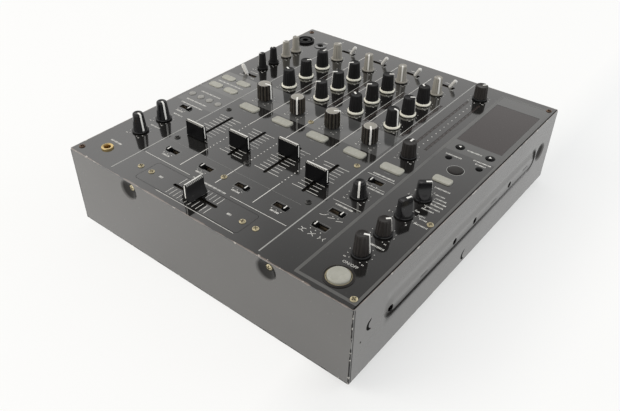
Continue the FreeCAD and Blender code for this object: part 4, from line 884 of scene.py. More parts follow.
def skirt_ring(k, base):
    """A turned ring with rounded edges between the panel and the grip."""
    swell = [(k.skirt - 0.9, KNOB_GAP), (k.skirt - 0.2, KNOB_GAP + 0.15), (k.skirt, KNOB_GAP + 0.6),
             (k.skirt, base - 0.7), (k.skirt - 0.25, base - 0.3), (k.skirt - 0.8, base - 0.1),
             (k.grip - 0.3, base)]
    return skin(turned(swell, 72), 2)


def colour_lid(k, sides):
    """A fluted silver lid, and a plain disc on it."""
    lid = [(6.95, k.height - 0.3, 1.0), (6.95, k.height - 0.02, 1.0), (6.55, k.height, 0.8),
           (0.4, k.height, 0.0)]
    disc = [(5.9, k.height - 0.1), (5.9, k.height + 0.04), (5.7, k.height + 0.06), (0.4, k.height + 0.06)]
    return [skin(turned(lid, sides, k.flutes, 0.6, 0.6), 2), skin(turned(disc, 48), 4)]


def grip_skins(kind):
    """The grip, its skirt ring or lid, and its pointer, standing on the panel with the pointer towards +Y."""
    k = KINDS[kind]
    base = k.ring + (COLOUR_GAP if kind == "colour" else KNOB_GAP)
    sides = SIDES_PER_FLUTE * k.flutes or ROUND_SIDES
    grip = turned(grip_profile(k, base), sides, k.flutes, k.depth, k.sharp)
    points, faces, _ = skin(scooped(grip, k.height) if kind == "selector" else grip)
    colours = np.zeros(len(faces), int)
    more = [skirt_ring(k, base)] if k.ring else []
    if kind == "colour":
        # Faces deep in a groove take the near-black finish, as painted shade between the ribs.
        angle = (np.arange(len(faces) - 2) % sides + 0.5) * 2 * np.pi / sides
        colours[:-2] = np.where(np.cos(k.flutes * (angle - np.pi / 2)) < DEEP_GROOVE, 3, 0)
        more = colour_lid(k, sides)
    return [(points, faces, colours)] + more + [pointer(k, base)]


for name in KNOBS:
    kind = kind_of(name)
    piece(name + "_grip", moved(grip_skins(kind), (*spot[name][:2], TOP), setting[name]),
          GRIP_FINISHES[kind], name, [name])
print("knobs:", len(KNOBS))

# %% [markdown]
# ## Fader caps
# A fader cap is one profile carried along its width: a foot, two slightly hollow faces and a serrated top
# edge. The serration is a cosine along the width that moves only the points of the top chamfer, and a pale
# tooth sits on each rib. The white line is a flat strip over the top and both ends.

# %% Cap shapes
CAP_TOP, CAP_END, CAP_ROUND = 16.15, 0.6, 0.25
TOOTH_IN, TOOTH_DOWN = 0.28, 0.22
LINE_FOOT, LINE_BEND = 3.0, 0.9
LINE_OUT = np.array([(-1, 0), (-1, 0.2), (-0.4, 1), (0.4, 1), (1, 0.2), (1, 0)])


def mirrored_profile(half):
    """Points (across, height, serration) up one side of a cap, followed by the same down the other side."""
    return np.array([(-across, height, teeth) for across, height, teeth in half] + half[::-1], float)


def cap_body(half_width, profile, teeth):
    """The profile carried along X: its width is drawn in at both ends, and its chamfer at each valley."""
    flat = half_width - CAP_END
    ends = np.array([half_width - CAP_ROUND, half_width])
    along = np.concatenate([-ends[::-1], np.linspace(-flat, flat, teeth * 6 + 1), ends])
    draw = np.interp(np.abs(along), [flat, *ends], [1.0, 0.97, 0.86])[:, None]
    wave = np.round(0.5 + 0.5 * np.cos(np.pi * teeth * (along + flat) / flat))
    wave = profile[:, 2] * np.where(np.abs(along) > flat, 0, wave)[:, None]
    across_cap = profile[:, 0] * draw * (1 - TOOTH_IN * wave)
    return np.stack([np.broadcast_to(along[:, None], wave.shape), across_cap,
                     profile[:, 1] - TOOTH_DOWN * wave], axis=-1)


def cap_skins(half_width, profile, teeth):
    """The body of a cap, its white line, and a row of pale teeth on both sides of its top."""
    bend = CAP_TOP - LINE_BEND
    path = np.array([(-half_width, LINE_FOOT), (-half_width, bend), (-half_width + 0.5, CAP_TOP),
                     (half_width - 0.5, CAP_TOP), (half_width, bend), (half_width, LINE_FOOT)])
    line = strip(path, LINE_OUT, 0.5, 0.3, 0.06)[..., [1, 0, 2]]
    low, high = profile[5:7, :2]
    block = np.array([low + (0.05, -0.15), low + (-0.12, 0.12), high + (-0.1, 0.1), high - (0, 0.2)])
    pitch = 2 * (half_width - CAP_END) / teeth
    tooth = np.array([np.column_stack([np.full(4, x), block]) for x in (-0.3 * pitch, 0.3 * pitch)])
    row = [skin(tooth * (1, side, 1) + ((i - (teeth - 1) / 2) * pitch, 0, 0), 3)
           for i in range(teeth) for side in (-1, 1)]
    return [skin(cap_body(half_width, profile, teeth)), skin(line, 1)] + row


print("cap top", CAP_TOP)

# %% [markdown]
# Two profiles serve for all five caps: a slim one for the channels, and one with a broad foot for the
# crossfader, which is turned by a quarter. Each cap sits on a thin steel stem that goes down into the slot.

# %% Caps on their stems
CHANNEL_PROFILE = mirrored_profile([(2.8, 0.8, 0), (2.45, 4.0, 0), (2.15, 8.0, 0), (2.05, 12.5, 0),
                                    (2.1, 14.6, 0), (1.9, 15.3, 1), (0.75, 16.1, 1)])
CROSS_PROFILE = mirrored_profile([(5.6, 0.9, 0), (4.1, 4.2, 0), (2.9, 7.0, 0), (2.35, 10.0, 0),
                                  (2.4, 13.6, 0), (2.2, 14.8, 1), (0.9, 16.1, 1)])
STEM = skin(stepped(1.2, 4.0, 0.3, [(0, -6.0), (0, 4.0)]), 2)
CAPS = [(f"channel_fader_{i}", 11.3, CHANNEL_PROFILE, 13, 0, cap_black) for i in range(1, 5)]
CAPS.append(("crossfader", 9.9, CROSS_PROFILE, 11, 90, grip_black))
for node, half_width, profile, teeth, turn, plastic in CAPS:
    place = (*box_mm(node)[2][:2], TOP)
    piece(node + "_cap", moved(cap_skins(half_width, profile, teeth) + [STEM], place, turn),
          (plastic, pointer_white, lever_steel, button_grey), node, [node])
print("caps:", len(CAPS))

# %% [markdown]
# ## Toggle levers
# A toggle is a plated bat with a pale sleeve and a round end, leaned over on its pin. The bat and the
# sleeve are turned, and the hub is a short cylinder along the pin.

# %% Toggles
TOGGLE_LEAN = math.radians(31.5)
BAT = [(1.0, -1.0), (1.25, 0.5), (1.3, 6.0), (1.35, 8.0)]
SLEEVE_END, SLEEVE_TOP = 2.2, 17.4
arc = np.linspace(0, np.pi / 2, 8)[1:-1]
SLEEVE = np.vstack([[(1.35, 7.4), (1.95, 7.7), (2.05, 13.0), (SLEEVE_END, 16.9)],
                    np.column_stack([SLEEVE_END * np.cos(arc), SLEEVE_TOP + SLEEVE_END * np.sin(arc)]),
                    [(0.15, SLEEVE_TOP + SLEEVE_END)]])
HUB = turned([(0.2, -2.5), (2.2, -2.5), (2.2, 2.5), (0.2, 2.5)], 32)[..., [0, 2, 1]] * (1, 1, -1)


def leaned(skins, pivot, angle):
    """Skins turned about an axis along Y by an angle and moved to the pivot."""
    c, s = math.cos(angle), math.sin(angle)
    return laid(skins, np.array([[c, 0, -s], [0, 1, 0], [s, 0, c]]), pivot)


TOGGLES = [name for name in spot if name.endswith("switch") or "_switch_" in name]
for name in TOGGLES:
    side = 1 if "input" in name else -1
    bat = [skin(turned(BAT, 32), 1), skin(turned(SLEEVE, 32), 0), skin(HUB, 1)]
    piece(name + "_bat", leaned(bat, spot[name], side * TOGGLE_LEAN), (lever_white, lever_steel), name,
          [name])
print("toggles", len(TOGGLES))

# %% [markdown]
# ## Slide levers
# These are short ribbed blocks with a white line. The ribs are a cosine across the lever, cut off to two
# heights, and the block is a cross-section carried along the slide's way.

# %% Slide levers
LEVER_HALF, LEVER_FOOT, RIB_PITCH, RIB_HIGH, RIB_LOW = 2.3, -9.0, 1.15, 1.8, 1.35


def slide_lever(place):
    """A ribbed block: the height of its top is a stepped cosine across the lever. A white line marks it."""
    x = np.linspace(-LEVER_HALF, LEVER_HALF, 23)
    rib = np.where(np.cos(2 * np.pi * x / RIB_PITCH) > 0, RIB_HIGH, RIB_LOW)
    rib[[0, -1]] = 1.2
    half = np.interp(np.abs(x), [LEVER_HALF - 0.3, LEVER_HALF], [2.25, 2.05])
    block = swept([(x, -half, LEVER_FOOT), (x, half, LEVER_FOOT), (x, half, rib - 0.2), (x, half - 0.3, rib),
                   (x, -half + 0.3, rib), (x, -half, rib - 0.2)])
    line = skin(stepped(0.9, 4.3, 0.2, [(0, 1.0), (0, 1.78), (0.1, 1.82)]), 1)
    return moved([skin(block), line], place)


lever_places = {}
for name in ("switch_levers_left", "switch_levers_right"):
    lever_places[name] = [middle for _, _, middle in solid_boxes(name)]
    skins = [part for x, y, _ in lever_places[name] for part in slide_lever((x, y, TOP))]
    piece(name + "_blocks", skins, (cap_black, pointer_white), name, [name])
    print(name, len(lever_places[name]))

# %% [markdown]
# ## Push buttons
# The long caps are milky plastic that a lamp lights from below, so they are pale and soft-edged. Each one
# is a rounded outline drawn in step by step towards its top. The cap of the effect column is a little
# shorter.

# %% Long caps
BUTTON_SKIRT, BELOW = 1.0, -3.0
CUE_RISE, PAD_RISE = 1.5, 0.9
CUE_LENGTH, EFFECT_START = 18, 100
PAD_END = 1.3


def long_cap(x, y, size_x, size_y, corner, rise):
    """Rounded rectangles drawn in towards a softly rounded edge, with a shallow tray on top."""
    levels = [(0, BELOW), (0, rise - 0.55), (0.12, rise - 0.25), (0.4, rise - 0.06), (0.7, rise), (1.0, rise),
              (1.15, rise - 0.07), (1.6, rise - 0.09)]
    return moved([skin(stepped(size_x, size_y, corner, levels))], (x, y, TOP))


caps, pad_ends = [], []
for low, high, (x, y, _) in solid_boxes("lit_buttons"):
    size_x, size_y, _ = high - low - 2 * BUTTON_SKIRT
    if size_x > CUE_LENGTH and x > EFFECT_START:
        effect_cue = (x - 1.4, y, size_x - 4.2, size_y - 1.4)
        caps += long_cap(*effect_cue, 2.6, CUE_RISE)
    elif size_x > CUE_LENGTH:
        caps += long_cap(x, y, size_x, size_y, 2.8, CUE_RISE)
    else:
        caps += long_cap(x, y, size_x, size_y, 3.2, PAD_RISE)
        pad_ends += [(x + side * (size_x / 2 + PAD_END), y) for side in (-1, 1)]
piece("lit_button_caps", caps, (button_clear,), "lit_buttons", ["lit_buttons"])
print("long caps", len(caps))

# %% [markdown]
# The round keys are small turned domes. Two keys of the effect column carry an arrow, which is a thin white
# triangle, and the largest key is charcoal.

# %% Round keys
KEY_RISE, DOME = 0.9, 0.225
SMALL_KEY, ARROW_KEY, LARGE_KEY = 3.6, 4.2, 6.6


def domed_key(place, radius, number):
    """A turned key: an upright wall, a rounded edge and a low dome that falls with the radius squared."""
    ring = np.linspace(0.86, 0.06, 7)
    dome = np.column_stack([radius * ring, KEY_RISE - DOME * ring ** 2])
    wall = [(radius, BELOW), (radius, KEY_RISE - 0.5), (radius * 0.97, KEY_RISE - 0.3)]
    return moved([skin(turned(np.vstack([wall, dome]), 40), number)], place)


keys, key_spots = [], {}
for low, high, middle in solid_boxes("small_buttons"):
    radius = round(float(high[0] - low[0]) / 2 - BUTTON_SKIRT, 1)
    place = (*middle[:2], TOP)
    key_spots.setdefault(radius, []).append(place)
    keys += domed_key(place, radius, {SMALL_KEY: 0, LARGE_KEY: 3}.get(radius, 1))
    if radius == ARROW_KEY:
        side = 1 if place[0] > spot["effect_depth_knob"][0] else -1
        arrow = np.array([(1.6, 0), (-1.0, 1.5), (-1.0, -1.5)]) * (side, 1)
        keys += moved([skin(stacked([(arrow, KEY_RISE - 0.3), (arrow, KEY_RISE + 0.06)]), 2)], place)
piece("small_key_domes", keys, (button_grey, cap_black, pointer_white, grip_charcoal), "small_buttons",
      ["small_buttons"])
print("keys", {radius: len(places) for radius, places in key_spots.items()})

# %% [markdown]
# The large button of the effect column is a milky disc with a raised rim, inside a thin gold ring and a
# charcoal collar. All three are turned, and the rings have no lid or floor.

# %% On and off button
low, high, middle = box_mm("on_off_button")
rim = (high - low)[0] / 2 - BUTTON_SKIRT
place = (*middle[:2], TOP)
disc = [(rim, BELOW), (rim, 1.5), (rim - 0.25, 2.0), (rim - 0.8, 2.3), (rim - 1.5, 2.4), (rim - 2.2, 2.3),
        (rim - 3.5, 2.2), (0.3, 2.15)]
gold = [(9.35, 0.0), (9.35, 0.3), (9.5, 0.45), (10.0, 0.45), (10.25, 0.3), (10.25, 0.0)]
collar = [(10.2, 0.0), (10.2, 0.72), (10.5, 0.95), (11.7, 0.95), (12.15, 0.6), (12.2, 0.0)]
piece("on_off_cap", moved([skin(turned(disc))], place), (button_clear,), "on_off_button",
      ["on_off_button"])
piece("on_off_trim", moved([ring_skin(turned(gold, 72), 0), ring_skin(turned(collar, 72), 1)], place),
      (plated_gold, grip_charcoal), "case")
print("on and off button", 2 * rim, "mm wide")

# %% [markdown]
# ## Screws
# Plated pan heads with a cross recess hold the panel, the plate, the brackets and the feet. The head is a
# polar grid: on each ring the columns beside an arm sit at asin(half width / radius), so the recess has
# straight walls.

# %% Screw heads
HEAD, ARM, ARM_HALF, RECESS, HEAD_RISE = 2.9, 2.05, 0.55, 0.7, 1.3
QUARTERS = np.arange(4) * np.pi / 2


def screw_head(number=1):
    """Rings of falling radius over a dome; columns inside an arm and within its length are pushed down."""
    radii = np.array([HEAD - 0.1, HEAD, HEAD, HEAD - 0.25, 2.4, ARM + 0.02, ARM, 1.3, 0.9, 0.6, 0.2])
    level = HEAD_RISE * np.sqrt(np.clip(1 - (radii / (HEAD * 1.12)) ** 2, 0, 1))
    level[:3] = (0, 0.15, 0.5)
    reach = np.minimum(np.arcsin(np.clip(ARM_HALF / radii, 0, 1)), np.pi / 4 - 0.02)[:, None]
    steps = np.array([-1.0, -0.98, 0, 0.98, 1.0])
    arms = np.concatenate([reach * steps + quarter for quarter in QUARTERS]
                          + [0 * reach + np.pi / 4 + quarter for quarter in QUARTERS], axis=1)
    inside = np.concatenate([np.tile([False, True, True, True, False], 4), np.zeros(4, bool)])
    order = np.argsort(arms[3])
    angle, inside = arms[:, order], inside[order]
    height = level[:, None] - RECESS * (inside & (radii[:, None] <= ARM))
    rings = np.stack([radii[:, None] * np.cos(angle), radii[:, None] * np.sin(angle), height], axis=-1)
    shank = turned([(1.4, -2.5), (1.4, 0.2)], 16)
    size = (2 * ARM, 2 * ARM_HALF)
    # Black bars at the bottom of the cross are painted shade in the recess.
    bars = [stepped(*way, 0.1, [(0, 0.2), (0, 0.64)]) for way in (size, size[::-1])]
    return [skin(rings, number), skin(shank, number)] + [skin(bar, 3) for bar in bars]


def plating(x, y):
    """Gold at the plate and at the front right, browned at the other corners, black beside the faders."""
    if abs(x) > 150 and not (x > 0 and y < 0):
        return 2
    return 1 if abs(x + 97.5) < 1 or -112 < y < -95 else 0


def facing(skins, place, outward):
    """Skins made along +Z, laid so that +Z points outward, and moved to a place."""
    side = np.cross((0, 0, 1), outward)
    side = side / np.linalg.norm(side) if np.linalg.norm(side) > 0.1 else np.array([1.0, 0, 0])
    return laid(skins, np.stack([side, np.cross(outward, side), outward]), place)


print("screw head", 2 * HEAD, "mm wide")

# %% [markdown]
# Where a screw sits says which way it faces: up out of the panel, down out of a foot, out of a side or out
# of the front. Its own CAD box gives its place, and each screw of the panel is turned by another angle.

# %% Screws in their places
SIDE_START, FLOOR_END, TURN_STEP = 120, 10, 37
screws = []
for low, high, (x, y, z) in solid_boxes("screws"):
    if high[2] > TOP:
        screws += moved(screw_head(plating(x, y)), (x, y, TOP), TURN_STEP * x)
    elif low[2] < FLOOR_END:
        screws += facing(screw_head(), (x, y, low[2] + HEAD_RISE), (0, 0, -1))
    elif abs(x) > SIDE_START:
        seat = high[0] - HEAD_RISE if x > 0 else low[0] + HEAD_RISE
        screws += facing(screw_head(4), (seat, y, z), (np.sign(x), 0, 0))
    else:
        screws += facing(screw_head(0), (x, low[1] + HEAD_RISE, z), (0, -1, 0))
piece("screw_heads", screws, (plated_gold, plated_black, plated_brown, socket_black_and_recess_shade, lever_steel), "case",
      ["screws"], crease=30)
print("screws", len(screws) // 4)

# %% [markdown]
# ## Painted shade on the side beads
# Painted shade lies on the lower slope of each bead and round its rear end. It is a thin dark skin over the
# CAD bead, whose height over the wall is rise * (1 + cos(pi t)) / 2, with t from 0 at its crest to 1 at its
# foot. The shade fades through an attribute on its points, which the material reads as its alpha.

# %% Painted bead shade
SHADE_SKIN_START, SHADE_SKIN_FOOT, SHADE_SKIN_LIFT, SHADE_SKIN_BACK = 4.4, 13.2, 0.10, 1.0
REAR_SPREAD, DARKEST_RADIUS, REAR_SHIFT, SHADE_SKIN_WIDTH = 4.0, 7.6, 3.4, 4.6
STRENGTH_AT = (-180, -135, -90.01, -89.99, -30, 30, 76)
STRENGTH = (0.0, 0.8, 0.95, 0.30, 1.0, 1.0, 0.0)


def bead_skin(side, angles):
    """Cross-sections round the bead: at each angle from the centre of an end, r runs from crest to foot,
    and x is the wall plus the bead's height. The back of each section lies inside the wall."""
    turn = np.radians(angles)[:, None]
    edge = BEAD_FOOT + (SHADE_SKIN_FOOT - BEAD_FOOT) * np.sin(turn) ** 2
    reach = edge + REAR_SPREAD * np.clip(np.cos(turn), 0, 1)
    centre = np.where(np.cos(turn) < 0, *BEAD_ENDS)
    radius = SHADE_SKIN_START + (reach - SHADE_SKIN_START) * np.linspace(0, 1, 13)
    share = np.clip((radius - BEAD_CREST) / (edge - BEAD_CREST), 0, 1)
    height = np.minimum(BEAD_RISE * (1 + np.cos(np.pi * share)) / 2 + SHADE_SKIN_LIFT, BEAD_RISE)
    front = np.stack([RIGHT + height, centre + radius * np.cos(turn), BEAD_Z + radius * np.sin(turn)],
                     axis=-1)
    behind = front[:, ::-1] * (0, 1, 1) + (RIGHT - SHADE_SKIN_BACK, 0, 0)
    return skin(np.concatenate([front, behind], axis=1) * (side, 1, 1)), radius


angles = np.concatenate([np.linspace(-180, -90.01, 12), np.linspace(-89.99, 0, 12), np.linspace(4, 76, 10)])
(left_shade_skin, _), (right_shade_skin, radius) = (bead_skin(side, angles) for side in (-1, 1))
rearwards = np.clip(np.cos(np.radians(angles)), 0, 1)[:, None]
off_middle = np.abs(radius - DARKEST_RADIUS - REAR_SHIFT * rearwards) / SHADE_SKIN_WIDTH
thick = np.interp(angles, STRENGTH_AT, STRENGTH)[:, None] * np.exp(-off_middle ** 4)
thick = np.concatenate([thick, thick[:, ::-1]], axis=1).ravel()
shade_skin_piece = piece("bead_underside_shade", [left_shade_skin, right_shade_skin], (bead_underside_shade,), "case", crease=60)
shade_skin_piece.data.attributes.new("thick", "FLOAT", "POINT").data.foreach_set("value", np.tile(thick, 2))
tree = bead_underside_shade.node_tree
thickness = add_node(tree, "Attribute", attribute_name="thick").outputs["Fac"]
tree.links.new(thickness, tree.nodes["Principled BSDF"].inputs["Alpha"])
print("dirt points", len(thick))

# %% [markdown]
# ## Holes in the sides
# The round holes and slits in the bead look black because of painted shade: a black sheet hangs behind the
# wall. Beside them are two half-punched discs, whose shaded step is painted as a dark crescent: a ring round
# the disc whose width goes as the cosine of the angle, so that it is broadest towards the front and runs out
# at both ends.

# %% Shade sheets and crescents
SHADE_SHEET_SIZE, SHADE_SHEET_MIDDLE = (300.0, 70.0), (157.9, -28.0, 48.0)
DISCS = ((25.0, 54.0), (179.5, 15.2))
DISC_EDGE, CRESCENT_HALF, CRESCENT_SUNK, CRESCENT_PROUD = 4.9, 1.5, -0.3, 0.03
shade_sheet = stepped(*SHADE_SHEET_SIZE, 3.0, [(0, 0.0), (0, 0.15)])[..., [2, 0, 1]] + SHADE_SHEET_MIDDLE
shade_sheets = [skin(shade_sheet * (side, 1, 1)) for side in (-1, 1)]
turn = np.linspace(np.pi / 2 + 0.05, 3 * np.pi / 2 - 0.05, 25)
half = CRESCENT_HALF * np.abs(np.cos(turn)) ** 0.6
inner, outer = DISC_EDGE - half, DISC_EDGE + half
section = ((CRESCENT_SUNK, inner), (CRESCENT_SUNK, outer), (CRESCENT_PROUD, outer), (CRESCENT_PROUD, inner))
for along, height in DISCS:
    shade_sheets += [skin(swept([(side * (RIGHT + x), FRONT + along + r * np.cos(turn), height + r * np.sin(turn))
                            for x, r in section])) for side in (-1, 1)]
piece("side_shade_sheets", shade_sheets, (shade_sheet_black,), "case")
print("shade_sheets", len(shade_sheets))

# %% [markdown]
# ## Sockets on the panel
# The headphone jack has a gold ring, the second microphone jack a black nut, and the combined socket a
# broad black flange with a round gap. All are turned profiles that go down into a dark bore and close at
# its blind end.

# %% Sockets on the panel
BORE, BORE_DEPTH, COMBINED_WIDTH = 3.2, 9.0, 18
COMBINED = [(0.2, -11.5), (9.4, -11.5), (9.4, -0.2), (10.7, 0.0), (10.7, 1.7), (10.3, 2.2), (8.7, 2.2),
            (8.3, 1.8), (8.3, -8.0), (6.9, -8.0), (6.9, 1.6), (6.6, 1.9), (4.0, 1.9), (3.3, 1.2),
            (3.2, -10.0), (0.2, -10.0)]


def jack_ring(radius, rise):
    """A turned ring with a bore: up the outside, over a rounded lip and down to the blind end of the hole."""
    end = -BORE_DEPTH - 0.5
    return turned([(0.2, end), (radius - 0.8, end), (radius - 0.8, -0.2), (radius, 0.0),
                   (radius, rise - 0.35), (radius - 0.4, rise), (BORE + 0.75, rise),
                   (BORE + 0.15, rise - 0.4), (BORE, rise - 1.0), (BORE, -BORE_DEPTH), (0.2, -BORE_DEPTH)],
                  48)


sockets = []
for low, high, (x, y, _) in solid_boxes("panel_jacks"):
    if y < 0:
        ring = skin(jack_ring(5.6, 1.6), 1)
    elif high[0] - low[0] < COMBINED_WIDTH:
        ring = skin(jack_ring(7.6, 0.8), 2)
    else:
        ring = skin(turned(COMBINED))
    sockets += moved([ring], (x, y, TOP))
piece("panel_socket_rings", sockets, (cap_black, socket_gold, panel_lacquer), "case",
      ["panel_jacks"])
print("panel sockets", len(sockets))

# %% [markdown]
# ## Sockets at the rear
# Gold phono barrels with white and red inserts, jack nuts, two three-pin outputs and the mains inlet stand
# on the rear plate, as usual on such a mixer. Each is made lying on its back, and its CAD box tells its
# kind and its place.


# %% Kinds of rear sockets
def phono(number):
    """A black collar, a turned gold barrel and a coloured insert with a centre hole."""
    foot = turned([(0.2, -1.0), (4.4, -1.0), (4.4, 0), (5.6, 0), (5.6, 1.2), (5.2, 1.6), (0.2, 1.6)], 40)
    barrel = turned([(3.5, 1.4), (4.15, 1.5), (4.15, 9.4), (3.9, 9.8), (3.6, 9.8), (3.5, 9.2)], 40)
    insert = turned([(3.55, 1.5), (3.55, 9.0), (3.2, 9.3), (2.0, 9.3), (1.65, 8.9), (1.6, 2.0), (0.2, 2.0),
                     (0.2, 1.5)], 32)
    return [skin(foot), ring_skin(barrel, 1), skin(insert, number)]


def three_pin():
    """A rounded plate with a round recess: outlines of equal count step from its edge into a circle."""
    outline, inner = rounded(26, 31, 3), rounded(25, 30, 2.6)
    angle = np.arctan2(*outline[:, ::-1].T)
    circle = 9.5 * np.column_stack([np.cos(angle), np.sin(angle)])
    shell = skin(stacked([(outline, -0.3), (outline, 1.2), (inner, 1.6), (circle * 1.06, 1.6), (circle, 1.2),
                          (circle, -13.0)]))
    pin = [skin(turned([(1.2, -13.2), (1.2, -1.4), (0.9, -0.9), (0.1, -0.8)], 20), 1)]
    pins = [part for turn in np.radians((90, 210, 330))
            for part in moved(pin, (4.1 * math.cos(turn), 4.1 * math.sin(turn), 0))]
    latch = moved([skin(stepped(6, 3.2, 0.8, [(0, 1.4), (0, 2.0), (0.3, 2.3)]), 4)], (0, 12.4, 0))
    return [shell] + pins + latch


def inlet():
    """A flange whose outline steps in to a recess, with three flat blades."""
    levels = [(0, -0.3), (0, 1.2), (0.4, 1.6), (4.5, 1.6), (4.9, 1.2), (5.0, -14.0)]
    blade = [skin(stepped(2.0, 4.0, 0.4, [(0, -14.2), (0, -2.6), (0.4, -1.8)]), 4)]
    blades = [part for place in ((-7, -2.6, 0), (7, -2.6, 0), (0, 2.6, 0)) for part in moved(blade, place)]
    return [skin(stepped(34, 27, 3.0, levels))] + blades


def rocker_bezel():
    """A frame round the rocker, open down to the rocker's room."""
    levels = [(0, -0.3), (0, 1.1), (0.4, 1.5), (1.5, 1.5), (1.9, 1.1), (2.0, -5.0)]
    return [skin(stepped(16, 22, 1.2, levels))]


print("phono skins", len(phono(2)), "three-pin skins", len(three_pin()))

# %% [markdown]
# Depth and width of the CAD boxes tell the five kinds apart: only the jacks are deep, and the others differ
# in width. The upper phono sockets are white inside and the lower ones red.

# %% Rear sockets in their places
JACK_DEPTH, PHONO_WIDTH, ROCKER_WIDTH, THREE_PIN_WIDTH, UPPER_ROW = 31, 12, 20, 30, 38
plate_back = box_mm("rear_panel")[1][1]
rear = []
for low, high, (x, _, z) in solid_boxes("rear_connectors"):
    width, depth, _ = high - low
    if depth > JACK_DEPTH:
        socket = [skin(jack_ring(6.2, 1.6))]
    elif width < PHONO_WIDTH:
        socket = phono(2 if z > UPPER_ROW else 3)
    elif width < ROCKER_WIDTH:
        socket = rocker_bezel()
    else:
        socket = three_pin() if width < THREE_PIN_WIDTH else inlet()
    rear += facing(socket, (x, plate_back, z), (0, 1, 0))
piece("rear_sockets", rear, (socket_black_and_recess_shade, socket_gold, pointer_white, connector_red, lever_steel), "case",
      ["rear_connectors"])
print("rear skins", len(rear))

# %% [markdown]
# ## Power rocker
# The face of the rocker is a shallow V, so that one half stands out when it is tipped. It carries a small
# ring and a line. It is made flat, turned to the rear, and then tipped about its pin by half of its travel.

# %% Rocker
ROCKER_TILT = math.radians(8.0)
ROCKER_TALL, ROCKER_WIDE, ROCKER_RISE = 8.2, 5.6, 2.5
SIGN_PLACE, SIGN_HEIGHT = 4.6, 1.65


def rocker_skins():
    """Its face is a shallow V across the height, rounded at both ends and carried along the width."""
    tall = np.concatenate([[-ROCKER_TALL], np.linspace(0.5 - ROCKER_TALL, ROCKER_TALL - 0.5, 15),
                           [ROCKER_TALL]])
    face = ROCKER_RISE - math.tan(ROCKER_TILT) * (ROCKER_TALL - np.abs(tall))
    face[[0, -1]] -= 0.5
    under = np.where(np.abs(tall) > ROCKER_TALL - 1.0, 0.2, -1.8)
    rings = swept([(-ROCKER_WIDE, tall, under), (-ROCKER_WIDE, tall, face - 0.3),
                   (0.4 - ROCKER_WIDE, tall, face), (ROCKER_WIDE - 0.4, tall, face),
                   (ROCKER_WIDE, tall, face - 0.3), (ROCKER_WIDE, tall, under)])
    ring = [ring_skin(turned([(1.9, 0.1), (1.9, 0.5), (1.4, 0.5), (1.4, 0.1)], 32), 1)]
    line = [skin(stepped(0.6, 3.6, 0.2, [(0, 0.1), (0, 0.5)]), 1)]
    signs = moved(ring, (0, -SIGN_PLACE, SIGN_HEIGHT)) + moved(line, (0, SIGN_PLACE, SIGN_HEIGHT))
    return [skin(rings)] + signs


c, s = math.cos(ROCKER_TILT), math.sin(ROCKER_TILT)
tip = np.array([[1, 0, 0], [0, c, s], [0, -s, c]])
rocker = laid(facing(rocker_skins(), (0, 0, 0), (0, 1, 0)), tip, spot["power_rocker"])
piece("power_rocker_face", rocker, (cap_black, pointer_white), "power_rocker",
      ["power_rocker"])
print("rocker skins", len(rocker))

# %% [markdown]
# ## Feet
# Four turned rubber pads, each with a hole for its screw. The profile goes round the rubber and closes on
# itself.

# %% Feet
FOOT = [(3.4, 0.3), (3.9, 0.0), (8.2, 0.0), (8.9, 0.5), (9.1, 1.2), (9.6, 5.0), (10.0, 6.6), (9.6, 7.0),
        (3.4, 7.0)]
feet = [part for _, _, (x, y, _) in solid_boxes("rubber_feet")
        for part in moved([ring_skin(turned(FOOT, 56))], (x, y, 0))]
piece("foot_pads", feet, (rubber,), "case", ["rubber_feet"])
print("feet", len(feet))

# %% [markdown]
# ## Printed marks
# The panel is silk-screened with white and grey ink on black lacquer. A layer of ink is a few hundredths of
# a millimetre thick, so each mark is a very thin slab on the panel. Rows of short dashes keep the rhythm of
# a printed panel, and the only characters are plain numbers and the words on and off at the big button.

# %% Straight marks
INK_LOW, INK_HIGH = TOP - 0.02, TOP + 0.05
SQUARE = np.array([(-1, -1), (1, -1), (1, 1), (-1, 1)]) / 2
CIRCLE = turned([(0.5, 0.0)], 12)[0, :, :2]
DASH_PITCH, DASH_WIDTH, DASH_CHANGE = 1.15, 0.62, 0.2


def marks(shape, x, y, size_x, size_y, number=0):
    """Many flat marks in one skin: a small outline scaled, moved and carried up through the ink's height."""
    x, y, size_x, size_y = (np.ravel(part)[:, None] for part in np.broadcast_arrays(x, y, size_x, size_y))
    flat = np.stack([x + shape[:, 0] * size_x, y + shape[:, 1] * size_y], axis=-1)
    count, sides = flat.shape[:2]
    points = np.stack([np.dstack([flat, np.full((count, sides), z)]) for z in (INK_LOW, INK_HIGH)], axis=1)
    start = 2 * sides * np.arange(count)[:, None]
    ring = np.arange(sides)
    wall = np.stack([ring, np.roll(ring, -1), np.roll(ring, -1) + sides, ring + sides], axis=-1)
    faces = (start[:, :, None] + wall).reshape(-1, 4).tolist()
    faces += (start + ring[::-1]).tolist() + (start + ring + sides).tolist()
    return points.reshape(-1, 3), faces, number


def dots(x, y, size, number=0):
    """Round dots of one size."""
    return marks(CIRCLE, x, y, size, size, number)


def rule(x, y, length, width=0.5, number=0):
    """A straight line along X, centred on a place."""
    return marks(SQUARE, x, y, length, width, number)


def long_line(x, start, end, width=0.75, number=0):
    """A straight line along Y from one place to another, at one or more places along X."""
    return marks(SQUARE, x, (start + end) / 2, width, end - start, number)


def dashes(x, y, length, tall=1.6, number=0):
    """A row of short upright bars of uneven width, centred on a place: width = 0.62 + 0.2 sin(5 i + x)."""
    step = np.arange(max(int(length / DASH_PITCH), 2))
    width = DASH_WIDTH + DASH_CHANGE * np.sin(5.0 * step + x)
    return marks(SQUARE, x + (step - step.mean()) * DASH_PITCH, y, width, tall, number)


print("ink", round(INK_HIGH - INK_LOW, 3), "mm thick")

# %% [markdown]
# Frames are rings between two outlines of equal count, and a curve is a line of points that is given a
# width to both sides, square to its own way.


